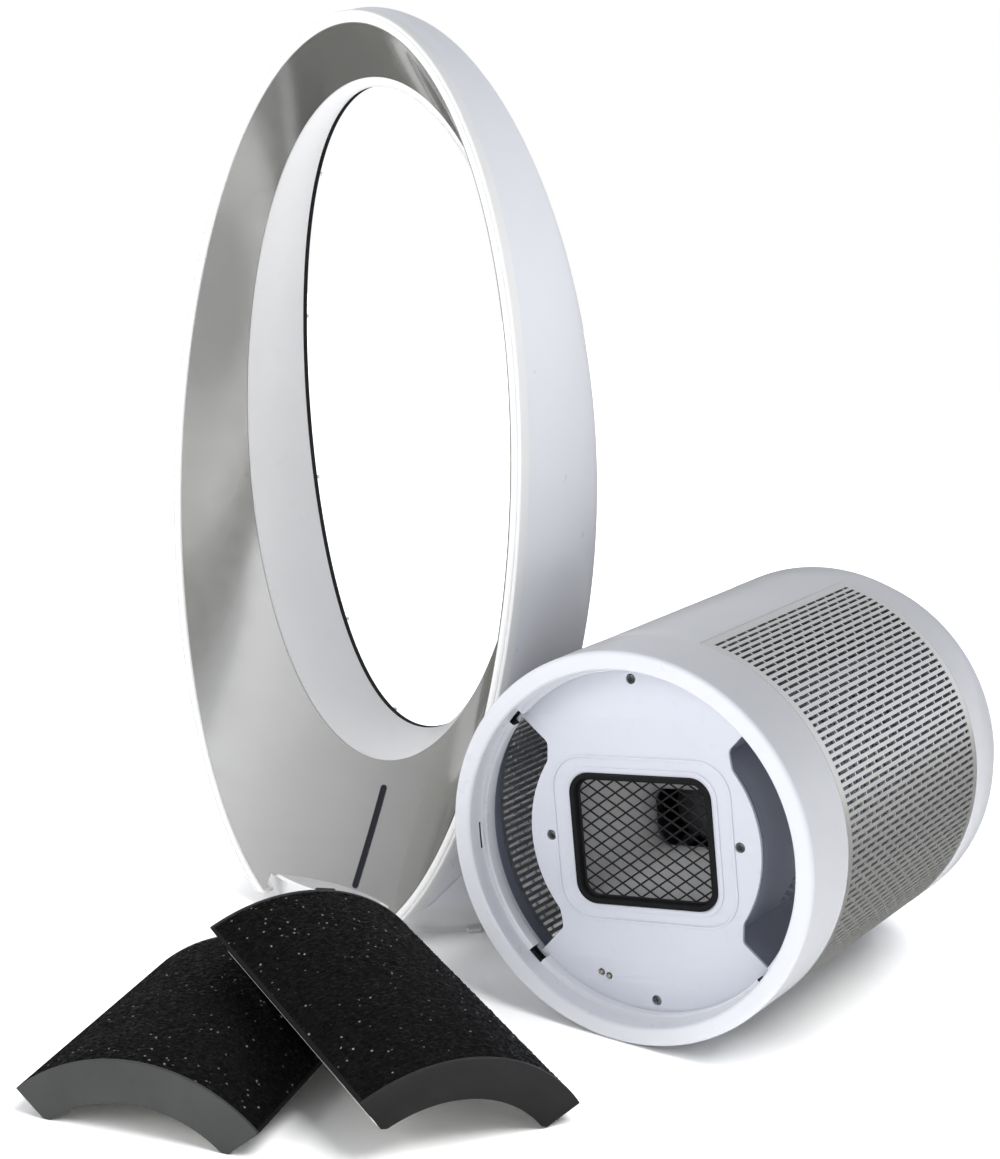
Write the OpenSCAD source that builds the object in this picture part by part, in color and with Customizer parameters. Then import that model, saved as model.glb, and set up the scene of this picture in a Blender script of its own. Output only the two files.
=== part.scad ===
// Tower fan without visible blades, laid out in its parts: the round base unit on its side,
// the tall oval air loop standing on its collar, and the two curved filters in front.
// Base pieces are written upright, +Z from the foot to the top rim, then laid down together.

/* [Base unit] */
// Outside radius of the round base
base_r = 110; // [105:1:115]
// Height of the base from its rubber feet to the top rim
base_h = 278; // [270:1:300]
// Wall thickness of the moulded housing
wall = 3; // [2.5:0.5:3]
// Radius of the recess inside the top rim
recess_r = 99.5; // [98:0.5:100]
// Depth of the top plate below the rim
recess_depth = 20; // [18:1:24]
// Turn of the base about its own axis as it lies
base_roll = 9.5; // [0:0.5:20]

/* [Grilles and filter bays] */
// Height of the lower edge of the side grilles
grille_low = 46.5; // [44:0.5:50]
// Height of the upper edge of the side grilles
grille_high = 232.5; // [225:0.5:236]
// Half of the angle that each grille covers
grille_half = 74; // [60:1:76]
// Slats in each grille
slat_count = 66; // [20:2:80]
// Inner radius of a filter bay
bay_in = 71; // [70:0.5:73]
// Half of the angle of a bay's mouth
bay_half = 43.5; // [42:0.5:46]

/* [Outlet] */
// Width of the outlet window, over its gasket
outlet_w = 87; // [80:1:90]
// Height of the outlet window, over its gasket
outlet_h = 74; // [68:1:78]
// Corner radius of the outlet window
outlet_r = 12; // [8:1:16]

/* [Air loop] */
// Half width of the loop's front rim
loop_a = 122.5; // [118:0.5:126]
// Half height of the loop's front rim
loop_b = 278.8; // [270:0.2:284]
// Height of the middle of the front rim above the floor
loop_c = 261.8; // [258:0.2:266]
// Straight facets around the loop
loop_steps = 72; // [48:8:96]
// Radius of the collar's flange
collar_r = 104; // [102:1:106]
// Radius of the plug that enters the recess of the base
plug_r = 98; // [96:0.5:98.5]
// Distance of the collar's middle behind the front rim
collar_back = 105; // [105:1:110]

/* [Filters] */
// Outside radius of a curved filter
filter_out = 95.8; // [94:0.1:96]
// Inside radius of a curved filter
filter_in = 73; // [72.5:0.5:76]
// Half of the angle of a filter
filter_half = 42.8; // [40:0.1:43]
// Length of a filter
filter_l = 183; // [175:1:196]

/* [Swivel] */
// Teeth of the fixed gear on the foot
gear_teeth = 48; // [48:1:48]
// Teeth of the swing motor's pinion
pinion_teeth = 16; // [16:1:16]
// Radius of the foot's spigot
spigot_r = 18; // [16:0.5:18]

/* [Hidden] */
$fn = 64;

// Places of the four groups on the floor
base_at = [118.75, -5.6];
loop_at = [-104.85, 33.9];
left_filter_at = [-13.1, -255.45, -14.5];
right_filter_at = [111.28, -170.83, -63];
right_filter_tilt = 7.8;
right_filter_roll = 11.0;
right_filter_lift = -44.93;

// Shared gaps: a small gap within one body, a wider one between bodies
gap = 0.1;
clear = 0.3;
eps = 0.01;

// Heights in the base
plate_t = 2.5;
plate_top = base_h - recess_depth;
ring_low = 232.6;
floor_low = 19.3;
floor_top = 23;
bay_floor = 47;
frame_top = 253;
shell_in = base_r - wall;

// Swivel gears
module_mm = 1;
gear_r = gear_teeth * module_mm / 2;
pinion_r = pinion_teeth * module_mm / 2;
gear_z = 31;
gear_t = 6;

// Blower
blower_low = 112;
blower_high = 206;
blower_r = 64;
eye_r = 37;
impeller_r = 52;
motor_r = 22;
shaft_r = 3;

// ---------- placing ----------

module lay_base() {
    translate([base_at[0], base_at[1] + base_h, base_r])
        rotate([90, 0, 0])
            rotate([0, 0, base_roll])
                children();
}

module stand_loop() {
    translate([loop_at[0], loop_at[1], 0])
        children();
}

// A filter's own axis runs along +Y from its near end; it arches over the axis
flat_z = filter_in * cos(filter_half) + 3;

module place_left_filter() {
    translate([left_filter_at[0], left_filter_at[1], -flat_z])
        rotate([0, 0, -left_filter_at[2]])
            children();
}

module place_right_filter() {
    translate([right_filter_at[0], right_filter_at[1], right_filter_lift])
        rotate([0, 0, -right_filter_at[2]])
            rotate([right_filter_tilt, right_filter_roll, 0])
                children();
}

// ---------- shapes used more than once ----------

module sector(r0, r1, z0, z1, mid, half) {
    rotate([0, 0, mid - half])
        rotate_extrude(angle = 2 * half)
            translate([r0, z0])
                square([r1 - r0, z1 - z0]);
}

module tube(r0, r1, z0, z1) {
    translate([0, 0, z0])
        difference() {
            cylinder(r = r1, h = z1 - z0);
            translate([0, 0, -1])
                cylinder(r = r0, h = z1 - z0 + 2);
        }
}

module rounded(w, h, r) {
    square([w - 2 * r, h], center = true);
    square([w, h - 2 * r], center = true);
    for (sx = [-1, 1], sy = [-1, 1])
        translate([sx * (w / 2 - r), sy * (h / 2 - r)])
            circle(r = r);
}

module frame_2d(w, h, r, t) {
    difference() {
        rounded(w, h, r);
        rounded(w - 2 * t, h - 2 * t, r - t);
    }
}

module pan_screw(head_r, head_t, shank_r, shank_l) {
    difference() {
        cylinder(r = head_r, h = head_t, $fn = 32);
        for (a = [0, 90])
            rotate([0, 0, a])
                translate([-head_r * 0.6, -0.45, head_t - 1])
                    cube([head_r * 1.2, 0.9, 2]);
    }
    translate([0, 0, -shank_l])
        cylinder(r = shank_r, h = shank_l, $fn = 32);
}

// Outline of a spur gear: each tooth has straight flanks
function gear_points(n, m) = [
    for (i = [0 : n - 1], k = [[-0.5, -1.25], [-0.24, 1], [0.24, 1], [0.5, -1.25]])
        let (a = (i + k[0] * 0.47) * 360 / n, r = n * m / 2 + k[1] * m * 0.98)
            [r * cos(a), r * sin(a)]
];

// ---------- base: housing ----------

strip_mid = 270;
display_z = [188, 212];
display_half = 10;
button_z = 168;
button_r = 6;

module body_housing() {
    color("whitesmoke")
        difference() {
            tube(shell_in, base_r, floor_low, ring_low);
            for (mid = [0, 180])
                sector(shell_in - 5, base_r + 5, grille_low, ring_low + 5, mid, grille_half);
            sector(shell_in - 5, base_r + 5, display_z[0] - gap, display_z[1] + gap,
                   strip_mid, display_half + 0.1);
            translate([0, 0, button_z])
                rotate([90, 0, 0])
                    cylinder(r = button_r + 0.2, h = base_r + 5);
        }
}

// Bayonet: the lugs of the loop drop through slots in the ledge and turn under its lip
slot_half_angle = 44;
ledge_r = 96.5;
ledge_top = plate_top + 7;

module top_ring() {
    color("whitesmoke")
        difference() {
            rotate_extrude()
                polygon([
                    [shell_in, ring_low], [base_r, ring_low], [base_r, base_h - 1.5],
                    [base_r - 1.5, base_h], [recess_r + 1.5, base_h], [recess_r, base_h - 1.5],
                    [recess_r, ledge_top], [ledge_r, ledge_top], [ledge_r, plate_top + 0.2],
                    [recess_r, plate_top + 0.2], [recess_r, frame_top + 2.5],
                    [recess_r - 1.2, frame_top + 2.5], [recess_r - 1.2, frame_top],
                    [recess_r + 2.5, frame_top], [recess_r + 2.5, base_h - 3],
                    [shell_in, base_h - 3]
                ]);
            for (mid = [0, 180], s = [-1, 1]) {
                rotate([0, 0, mid + s * slot_half_angle])
                    translate([ledge_r - 3, -4.5, plate_top + 0.1])
                        cube([10, 9, ledge_top - plate_top + 0.4]);
                sector(ledge_r - 3, plug_r + 2.4, plate_top + 1, ledge_top - 1.8,
                       mid + s * slot_half_angle + 6, 6);
            }
            for (mid = [0, 180])
                rotate([0, 0, mid])
                    translate([recess_r - 3, -7.5, ledge_top + 1.5])
                        cube([7, 15, 1.6]);
        }
}

screw_spots = [[90.5, 90], [90.5, 270], [58.5, 0], [58.5, 180]];
pin_spots = [[84, 246.5], [84, 249.9]];

module spot(s) {
    rotate([0, 0, s[1]])
        translate([s[0], 0, 0])
            children();
}

module bay_mouth_2d() {
    inner = bay_half - 6.8;
    low = bay_in - 2;
    step = bay_in + 6;
    far = 140;
    intersection() {
        difference() {
            circle(r = recess_r + 5);
            circle(r = bay_in);
        }
        polygon([
            [10 * cos(inner), -10 * sin(inner)],
            [low * cos(inner), -low * sin(inner)],
            [step * cos(bay_half), -step * sin(bay_half)],
            [far * cos(bay_half), -far * sin(bay_half)],
            [far * cos(bay_half), far * sin(bay_half)],
            [step * cos(bay_half), step * sin(bay_half)],
            [low * cos(inner), low * sin(inner)],
            [10 * cos(inner), 10 * sin(inner)]
        ]);
    }
}

module top_plate() {
    color("gainsboro") {
        translate([0, 0, plate_top - plate_t])
            linear_extrude(plate_t)
                difference() {
                    circle(r = recess_r - 0.2, $fn = 128);
                    rounded(outlet_w + 0.2, outlet_h + 0.2, outlet_r + gap);
                    for (a = [0, 180])
                        rotate(a)
                            bay_mouth_2d();
                    for (s = screw_spots)
                        spot(s)
                            circle(r = 2.6);
                    for (s = pin_spots)
                        spot(s)
                            circle(r = 1.6);
                }
        for (s = screw_spots)
            spot(s)
                tube(1.6, 3.4, plate_top - plate_t - 1.2, plate_top - plate_t + eps);
        translate([0, 0, plate_top - 1])
            linear_extrude(1.8)
                frame_2d(111, 94, 20, 1.2);
    }
}

module plate_screws() {
    color("dimgray")
        for (s = screw_spots)
            spot(s)
                translate([0, 0, plate_top - plate_t + eps])
                    pan_screw(2.5, 1.9, 1.5, 6);
}

module window_gasket() {
    color("black")
        translate([0, 0, frame_top])
            linear_extrude(plate_top - frame_top + 2.3)
                frame_2d(outlet_w, outlet_h, outlet_r, 3);
}

// Diamond lattice: bars crossing at two slopes inside a thin frame
mesh_pitch = 9;
mesh_slope = 33;

module mesh_guard() {
    w = outlet_w - 6;
    h = outlet_h - 6;
    color("black")
        translate([0, 0, plate_top - 3])
            linear_extrude(1.2)
                union() {
                    frame_2d(w, h, outlet_r - 3, 1.4);
                    intersection() {
                        rounded(w - 1, h - 1, outlet_r - 4);
                        union()
                            for (s = [-1, 1], i = [-7 : 7])
                                translate([i * mesh_pitch * 1.25, 0])
                                    rotate(s * mesh_slope)
                                        square([160, 1.1], center = true);
                    }
                }
}

module contact_pins() {
    color("gold")
        for (s = pin_spots)
            spot(s)
                translate([0, 0, plate_top - 5])
                    cylinder(r = 1.4, h = 7, $fn = 24);
}

module latch_springs() {
    color("dimgray")
        for (a = [0, 180])
            rotate([0, 0, a])
                translate([recess_r + 0.4, -7, ledge_top + 1.7])
                    cube([0.8, 14, 1.2]);
}

// ---------- base: grilles and filter bays ----------

// Curved metal sheet with rows of long slots and a plain border
slot_w = 2.1;
border = 4;

module grille(mid) {
    low = grille_low + gap;
    high = grille_high - gap;
    half = grille_half - 0.1;
    step = 2 * (half - 2.5) / slat_count;
    long = (high - low - 3 * border) / 2;
    color("silver")
        difference() {
            sector(base_r - 1.4, base_r - 0.2, low, high, mid, half);
            for (i = [0.5 : slat_count - 0.5], z = [low + border, high - border - long])
                rotate([0, 0, mid - half + 2.5 + i * step])
                    translate([base_r - 5, -slot_w / 2, z])
                        cube([10, slot_w, long]);
        }
}

module left_grille() {
    grille(180);
}

module right_grille() {
    grille(0);
}

screen_in = 68.6;
screen_out = 70.2;

module inner_screen(mid) {
    low = bay_floor + 7;
    high = frame_top - 5;
    rows = 6;
    cols = 6;
    dz = (high - low) / rows;
    da = 2 * bay_half / cols;
    color("dimgray")
        difference() {
            sector(screen_in, screen_out, low, high, mid, bay_half + 1);
            for (r = [0 : rows - 1], c = [0 : cols - 1])
                sector(screen_in - 3, screen_out + 3, low + r * dz + 3, low + (r + 1) * dz - 3,
                       mid - bay_half + (c + 0.5) * da, da / 2 - 1.6);
        }
}

module left_inner_screen() {
    inner_screen(180);
}

module right_inner_screen() {
    inner_screen(0);
}

// Core frame: bay floor, four radial walls, front and back core walls and two hoops
module bay_frame() {
    core_in = screen_in - 1;
    core_out = screen_out + 0.3;
    color("lightgray") {
        difference() {
            union() {
                translate([0, 0, bay_floor])
                    cylinder(r = shell_in - 0.2, h = 2.5);
                translate([0, 0, bay_floor + 1])
                    linear_extrude(frame_top - bay_floor - 1) {
                        circle(r = core_out);
                        for (mid = [0, 180], s = [-1, 1])
                            rotate(mid + s * (bay_half + 2))
                                translate([core_in + 1, -0.9])
                                    square([shell_in - core_in - 3, 1.8]);
                    }
            }
            translate([0, 0, bay_floor + 2.5])
                cylinder(r = core_in, h = frame_top);
            translate([0, 0, bay_floor - 1])
                cylinder(r = 12, h = 5);
            for (mid = [0, 180])
                sector(core_in - 5, core_out + 2, bay_floor + 6.8, frame_top - 4.8, mid,
                       bay_half + 1.1);
        }
        for (s = screw_spots)
            spot(s)
                difference() {
                    translate([s[0] > core_out ? core_out - s[0] - 1 : -4, -3.5, frame_top - 4.5])
                        cube([s[0] > core_out ? s[0] - core_out + 5 : core_in - s[0] + 5, 7, 4.5]);
                    translate([0, 0, frame_top - 6])
                        cylinder(r = 1.6, h = 8, $fn = 32);
                }
    }
}

// ---------- base: chassis, swivel and foot ----------

screw_ring = 98;

module chassis_floor() {
    color("darkgray")
        difference() {
            union() {
                translate([0, 0, floor_low])
                    cylinder(r = shell_in - 0.1, h = floor_top - floor_low);
                translate([0, 0, floor_low])
                    cylinder(r = spigot_r + 6, h = gear_z - 0.5 - floor_low);
                for (a = [45 : 90 : 315])
                    rotate([0, 0, a])
                        translate([screw_ring, 0, floor_top])
                            cylinder(r = 4.5, h = 8);
            }
            translate([0, 0, floor_low - 1])
                cylinder(r = spigot_r + 0.05, h = 30);
            for (a = [45 : 90 : 315])
                rotate([0, 0, a])
                    translate([screw_ring, 0, floor_low - 1])
                        cylinder(r = 2.1, h = 30, $fn = 32);
        }
}

module chassis_screws() {
    color("dimgray")
        for (a = [45 : 90 : 315])
            rotate([0, 0, a])
                translate([screw_ring, 0, floor_low])
                    rotate([180, 0, 0])
                        pan_screw(3.8, 1.8, 2, 9);
}

module swivel_bearing() {
    color("ivory")
        tube(52, 60, 14 + clear, floor_low);
}

module foot() {
    color("gainsboro")
        difference() {
            rotate_extrude()
                polygon([
                    [spigot_r, 14], [103, 14], [104, 13], [104, 2], [101.5, 2], [101.5, 11],
                    [10, 11], [10, gear_z + gear_t], [spigot_r, gear_z + gear_t]
                ]);
            translate([-11, 88, 3])
                cube([22, 20, 10]);
        }
}

module foot_plate() {
    color("slategray")
        difference() {
            translate([0, 0, 2])
                cylinder(r = 101.3, h = 2.2);
            translate([0, 0, 1])
                cylinder(r = 9.8, h = 5);
            translate([-11.2, 84, 0])
                cube([22.4, 22, 8]);
        }
}

module foot_gear() {
    color("ivory")
        translate([0, 0, gear_z])
            linear_extrude(gear_t)
                difference() {
                    polygon(gear_points(gear_teeth, module_mm));
                    circle(r = spigot_r);
                }
}

module gear_clip() {
    color("dimgray")
        tube(10.5, 20, gear_z + gear_t, gear_z + gear_t + 1.2);
}

pinion_turn = 180 / pinion_teeth;

module swing_pinion() {
    color("ivory")
        translate([gear_r + pinion_r, 0, gear_z + 0.5]) {
            linear_extrude(gear_t - 1)
                rotate(pinion_turn)
                    polygon(gear_points(pinion_teeth, module_mm));
            cylinder(r = 2, h = gear_t + 6);
        }
}

module swing_motor() {
    low = gear_z + gear_t + 1.6;
    color("silver")
        difference() {
            union() {
                translate([gear_r + pinion_r, 0, low])
                    cylinder(r = 11, h = bay_floor - low);
                translate([gear_r + pinion_r - 3.5, -17, bay_floor - 1.5])
                    cube([7, 34, 1.5]);
            }
            translate([gear_r + pinion_r, 0, low - 1])
                cylinder(r = 2.06, h = 7);
        }
}

module rubber_feet() {
    color("black")
        for (a = [45 : 90 : 315])
            rotate([0, 0, a])
                translate([86, 0, 0])
                    cylinder(r = 9, h = 2);
}

// Mains inlet in the edge of the foot, with two blades inside its mouth
module power_inlet() {
    color("black")
        difference() {
            translate([-10.9, 86, 3.1])
                cube([21.8, 16.5, 7.8]);
            translate([-7, 90, 4.6])
                cube([14, 20, 4.8]);
        }
    color("silver")
        for (s = [-1, 1])
            translate([s * 3.4 - 0.9, 89, 5.8])
                cube([1.8, 10, 2.4]);
}

// ---------- base: blower ----------

module blower_housing() {
    color("darkgray")
        difference() {
            union() {
                tube(blower_r - 2, blower_r, blower_low, blower_high);
                tube(eye_r, blower_r - 1, blower_low, blower_low + 2);
            }
        }
}

module blower_bushes() {
    color("black")
        for (a = [60, 120, 240, 300], z = [blower_low + 10, blower_high - 14])
            rotate([0, 0, a])
                translate([blower_r + 0.05, -4, z])
                    cube([screen_in - 1.6 - blower_r, 8, 8]);
}

throat_r = 22;

module throat_plate() {
    color("darkgray")
        tube(throat_r, blower_r - 2.05, blower_high - 2, blower_high);
}

module duct_solid(grow) {
    hull() {
        translate([0, 0, blower_high + 0.05])
            cylinder(r = throat_r + grow, h = 1);
        translate([0, 0, frame_top - 1])
            linear_extrude(1)
                rounded(outlet_w - 4 + 2 * grow, outlet_h - 4 + 2 * grow, outlet_r);
    }
}

module outlet_duct() {
    color("gray")
        difference() {
            duct_solid(2);
            translate([0, 0, -0.01])
                duct_solid(0);
            translate([0, 0, 0.02])
                duct_solid(0);
        }
}

module motor_mount() {
    color("darkgray")
        union() {
            tube(motor_r + 0.05, motor_r + 4, 150, 158);
            for (a = [45 : 90 : 315])
                rotate([0, 0, a])
                    translate([motor_r + 3, -3, 150])
                        cube([blower_r - 2.1 - motor_r - 3, 6, 6]);
        }
}

module motor() {
    color("silver")
        difference() {
            union() {
                translate([0, 0, 146])
                    cylinder(r = motor_r - 2, h = 34);
                translate([0, 0, 149])
                    cylinder(r = motor_r, h = 26);
            }
            translate([0, 0, 140])
                cylinder(r = shaft_r + 0.05, h = 50);
        }
}

module motor_shaft() {
    color("lightsteelblue")
        translate([0, 0, 120])
            cylinder(r = shaft_r, h = 64);
}

blade_count = 11;

module impeller() {
    color("dimgray")
        difference() {
            union() {
                translate([0, 0, 140])
                    cylinder(r = impeller_r, h = 2);
                translate([0, 0, 120.5])
                    cylinder(r = 12, h = 21);
                tube(eye_r + 1, impeller_r, 117, 119);
                for (i = [0 : blade_count - 1])
                    rotate([0, 0, i * 360 / blade_count])
                        translate([9, 0, 118.5])
                            rotate([0, 0, -22])
                                cube([41, 1.6, 22]);
            }
            translate([0, 0, 110])
                cylinder(r = shaft_r, h = 40);
        }
}

// ---------- base: boards and controls ----------

module control_board() {
    color("darkgreen")
        union() {
            translate([-24, -90, 140])
                cube([48, 1.6, 92]);
            translate([-20, -97, display_z[0]])
                cube([40, 7, display_z[1] - display_z[0]]);
        }
}

module button_switch() {
    color("black")
        translate([-4, -96, button_z - 4])
            cube([8, 6, 8]);
}

module display_window() {
    color("black")
        sector(shell_in - 0.5, base_r - 0.15, display_z[0], display_z[1], strip_mid, display_half);
}

module power_button() {
    color("silver")
        translate([0, 0, button_z])
            rotate([90, 0, 0])
                translate([0, 0, 98])
                    cylinder(r = button_r, h = base_r + 0.5 - 98);
}

module power_board() {
    color("darkgreen")
        union() {
            translate([-80, -30, 26])
                cube([52, 60, 1.6]);
            translate([-76, -26, 27.6])
                cube([22, 20, 14]);
            translate([-66, 14, 27.6])
                cylinder(r = 7, h = 16);
            translate([-44, 10, 27.6])
                cylinder(r = 5, h = 12);
            for (x = [-77, -31], y = [-27, 27])
                translate([x, y, floor_top])
                    cylinder(r = 2.5, h = 3);
        }
}

// ---------- loop ----------

// An edge of the loop is an upright oval [half width, half height, middle height] whose depth
// follows its height: depth = k0 + k1 * (z - ref_z) + k2 * ((z - ref_z) / ref_span) ^ 2
ref_z = 300;
ref_span = 270;

rim_outer = [loop_a, loop_b, loop_c, 0, 0, 0];
rim_inner = [loop_a - 7.5, loop_b - 7.3, loop_c, 1, 0, 0];
panel_inner = [100, 205.6, 297.7, 44, -0.064, -10.4];
slot_edge = [85, 198.6, 300.2, 83.6, -0.169, -35.8];
rear_edge = [0, 0, 0, 102, -0.13, -30];
loop_foot = 20;
rim_foot = 9;

function mix(p, q, t) = p * (1 - t) + q * t;
function through(p, m, q, t) = mix(mix(p, 2 * m - (p + q) / 2, t), mix(2 * m - (p + q) / 2, q, t), t);
function grow(p, out, back) = p + [out, out, 0, back, 0, 0];
function deep(p, q, f, back) = [p[0], p[1], p[2], q[3] * f + back, q[4] * f, q[5] * f];
function depth_at(p, z) = p[3] + p[4] * (z - ref_z) + p[5] * pow((z - ref_z) / ref_span, 2);
function on_edge(p, t) = let (z = p[2] + p[1] * sin(t)) [p[0] * cos(t), depth_at(p, z), z];

// Closed ring whose cross-section runs through the given edges in order
module ring(edges) {
    n = loop_steps;
    m = len(edges);
    points = [for (i = [0 : n - 1], e = edges) on_edge(e, i * 360 / n)];
    faces = [
        for (i = [0 : n - 1], j = [0 : m - 1])
            let (a = i * m + j, b = i * m + (j + 1) % m,
                 c = ((i + 1) % n) * m + (j + 1) % m, d = ((i + 1) % n) * m + j)
                for (f = [[a, b, c], [a, c, d]]) f
    ];
    polyhedron(points, faces, convexity = 10);
}

module above(z) {
    intersection() {
        children();
        translate([-200, -50, z])
            cube([400, 400, 600]);
    }
}

module loop_rim() {
    color("white")
        stand_loop()
            above(rim_foot)
                ring([
                    grow(rim_outer, 0, 9), grow(rim_outer, 0, 3.2), grow(rim_outer, -1.2, 0.8),
                    grow(rim_outer, -3, 0), grow(rim_outer, -4.8, 0.6),
                    grow(rim_outer, -5.5, 1.8), grow(rim_outer, -5.5, 9)
                ]);
}

panel_mid = grow(mix(rim_inner, panel_inner, 0.5), 0, 2);

module loop_panel() {
    front = [for (t = [0 : 0.2 : 1]) through(rim_inner, panel_mid, panel_inner, t)];
    color("silver")
        stand_loop()
            difference() {
                above(rim_foot)
                    ring(concat(front, [for (k = [5 : -1 : 0]) grow(front[k], 1.4, 0.5)]));
                translate([-44, -10, 0])
                    cube([88, 120, loop_foot]);
            }
}

ring_mid = grow(mix(panel_inner, slot_edge, 0.5), -2.5, 0);

module loop_inner_ring() {
    front = [for (t = [0 : 0.25 : 1]) through(panel_inner, ring_mid, slot_edge, t)];
    moved = [for (e = front) grow(e, 0, 0.6)];
    color("white")
        stand_loop()
            ring(concat(moved, [for (k = [4 : -1 : 0]) grow(moved[k], 2, 0.6)]));
}

// Outer skin edges, from the rim round the back to the lip of the slot
skin_side = grow(rim_outer, 1.5, 0);
skin_back = mix(rim_outer, [slot_edge[0], slot_edge[1], slot_edge[2], 0, 0, 0], 0.30);
skin_end = mix(rim_outer, [slot_edge[0], slot_edge[1], slot_edge[2], 0, 0, 0], 0.50);
lip = grow(slot_edge, 3.4, 9);

// Skirt that carries the loop down to the round collar: level ovals that shrink upwards
skirt_top = 112;

function skirt_ring(z, inset) =
    let (u = (z - loop_foot) / (skirt_top - loop_foot), s = u * u * (3 - 2 * u),
         w = collar_r * (1 - s) + 82 * s - inset, h = collar_r * (1 - s) + 40 * s - inset,
         mid = collar_back * (1 - s) + 58 * s)
        [for (k = [0 : 47]) [w * cos(k * 7.5), mid + h * sin(k * 7.5), z]];

module skirt(inset, z0, z1) {
    levels = 8;
    points = [for (i = [0 : levels], p = skirt_ring(z0 + (z1 - z0) * i / levels, inset)) p];
    sides = [
        for (i = [0 : levels - 1], k = [0 : 47])
            let (a = i * 48 + k, b = i * 48 + (k + 1) % 48, c = b + 48, d = a + 48)
                for (f = [[a, c, b], [a, d, c]]) f
    ];
    caps = [[for (k = [0 : 47]) k], [for (k = [47 : -1 : 0]) levels * 48 + k]];
    polyhedron(points, concat(sides, caps), convexity = 4);
}

// Whole oval of the loop filled in, from well in front of it to its back skin
module loop_plug(inset) {
    edges = [
        grow(rim_outer, -inset, -60), grow(rim_outer, -inset, 9),
        deep(grow(skin_side, -inset, 0), rear_edge, 0.4, 0),
        deep(grow(rim_outer, -inset, 0), rear_edge, 0.68, 0),
        deep(grow(rim_outer, -4 - inset, 0), rear_edge, 0.9, 0),
        deep(grow(skin_back, -inset, 0), rear_edge, 1, -2 - inset),
        deep(grow(skin_end, -inset, 0), rear_edge, 1, -3 - inset),
        grow(slot_edge, 3.4, 9 - inset)
    ];
    n = loop_steps;
    m = len(edges);
    points = concat(
        [for (e = edges, i = [0 : n - 1]) on_edge(e, i * 360 / n)],
        [[0, edges[0][3], ref_z], [0, edges[m - 1][3], ref_z]]
    );
    faces = [
        for (i = [0 : n - 1])
            let (next = (i + 1) % n)
                for (f = concat(
                    [[m * n, next, i], [m * n + 1, (m - 1) * n + i, (m - 1) * n + next]],
                    [for (j = [0 : m - 2]) [j * n + i, j * n + next, (j + 1) * n + next]],
                    [for (j = [0 : m - 2]) [j * n + i, (j + 1) * n + next, (j + 1) * n + i]]
                )) f
    ];
    polyhedron(points, faces, convexity = 4);
}

post_spots = [0 : 90 : 180];

// Back skin, open at the bottom and behind the skirt so that air can rise into it
module loop_shell() {
    color("white")
        stand_loop()
            difference() {
                above(loop_foot)
                    ring([
                        grow(rim_outer, 0, 9.1), deep(skin_side, rear_edge, 0.4, 0),
                        deep(rim_outer, rear_edge, 0.68, 0),
                        deep(grow(rim_outer, -4, 0), rear_edge, 0.9, 0),
                        deep(skin_back, rear_edge, 1, -2), deep(skin_end, rear_edge, 1, -3),
                        lip, grow(lip, 2, 0),
                        deep(grow(skin_end, 0.5, 0), rear_edge, 1, -5.4),
                        deep(grow(skin_back, -0.6, 0), rear_edge, 1, -4.8),
                        deep(grow(rim_outer, -6.4, 0), rear_edge, 0.88, 0),
                        deep(grow(rim_outer, -2.6, 0), rear_edge, 0.67, 0),
                        deep(grow(skin_side, -2.6, 0), rear_edge, 0.4, 0),
                        grow(rim_outer, -2.6, 9.1)
                    ]);
                translate([-55, 25, 0])
                    cube([110, 110, 84]);
            }
}

module loop_skirt() {
    color("white")
        stand_loop()
            union() {
                difference() {
                    skirt(0, loop_foot, skirt_top);
                    skirt(2.5, loop_foot - 1, skirt_top - 2.5);
                    loop_plug(-0.9);
                }
                for (a = post_spots)
                    translate([0, collar_back, loop_foot])
                        rotate([0, 0, a])
                            difference() {
                                union() {
                                    translate([90, 0, 0])
                                        cylinder(r = 4.5, h = 12);
                                    translate([92, -1, 0])
                                        cube([10.5, 2, 9]);
                                }
                                translate([90, 0, -1])
                                    cylinder(r = 2.05, h = 11, $fn = 32);
                            }
            }
}

module slot_seal() {
    color("black")
        stand_loop()
            ring([
                grow(slot_edge, 0.6, 1.6), grow(slot_edge, 3, 1.6), grow(slot_edge, 3, 4.2),
                grow(slot_edge, 0.6, 4.2)
            ]);
}

// Short ribs behind the slot that keep its width
module slot_spacers() {
    color("white")
        stand_loop()
            for (t = [15 : 30 : 345])
                translate(on_edge(grow(slot_edge, 1, 4.45), t))
                    rotate([0, -atan2(slot_edge[0] * sin(t), slot_edge[1] * cos(t)), 0])
                        translate([0, 0, -1])
                            cube([1.8, 4.4, 2]);
}

bar_w = 3.7;
bar_x = 11.7;

// Slim dark window down the middle of the lower panel
module light_bar() {
    steps = 10;
    path = [
        for (i = [0 : steps])
            let (e = through(rim_inner, panel_mid, panel_inner, 0.285 + 0.575 * i / steps))
                on_edge(e, -acos(bar_x / e[0]))
    ];
    rows = [
        for (p = path) for (q = [[-1, 0.4], [1, 0.4], [1, 1.1], [-1, 1.1]])
            [bar_x + q[0] * bar_w / 2, p[1] - 0.91 * q[1], p[2] + 0.42 * q[1]]
    ];
    n = len(path);
    faces = concat(
        [[3, 2, 1, 0], [for (k = [0 : 3]) (n - 1) * 4 + k]],
        [for (i = [0 : n - 2], k = [0 : 3])
            let (a = i * 4 + k, b = i * 4 + (k + 1) % 4) [a, b, b + 4, a + 4]]
    );
    color("black")
        stand_loop()
            polyhedron(rows, faces, convexity = 4);
}

module light_board() {
    color("darkgreen")
        stand_loop()
            translate([0, 62, 39])
                rotate([-21, 0, 0])
                    translate([-6, 0, -15])
                        cube([12, 1.6, 50]);
}

flange_low = loop_foot - 2.5;
gasket_high = 3;
pad_angle = 248.2;

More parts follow.
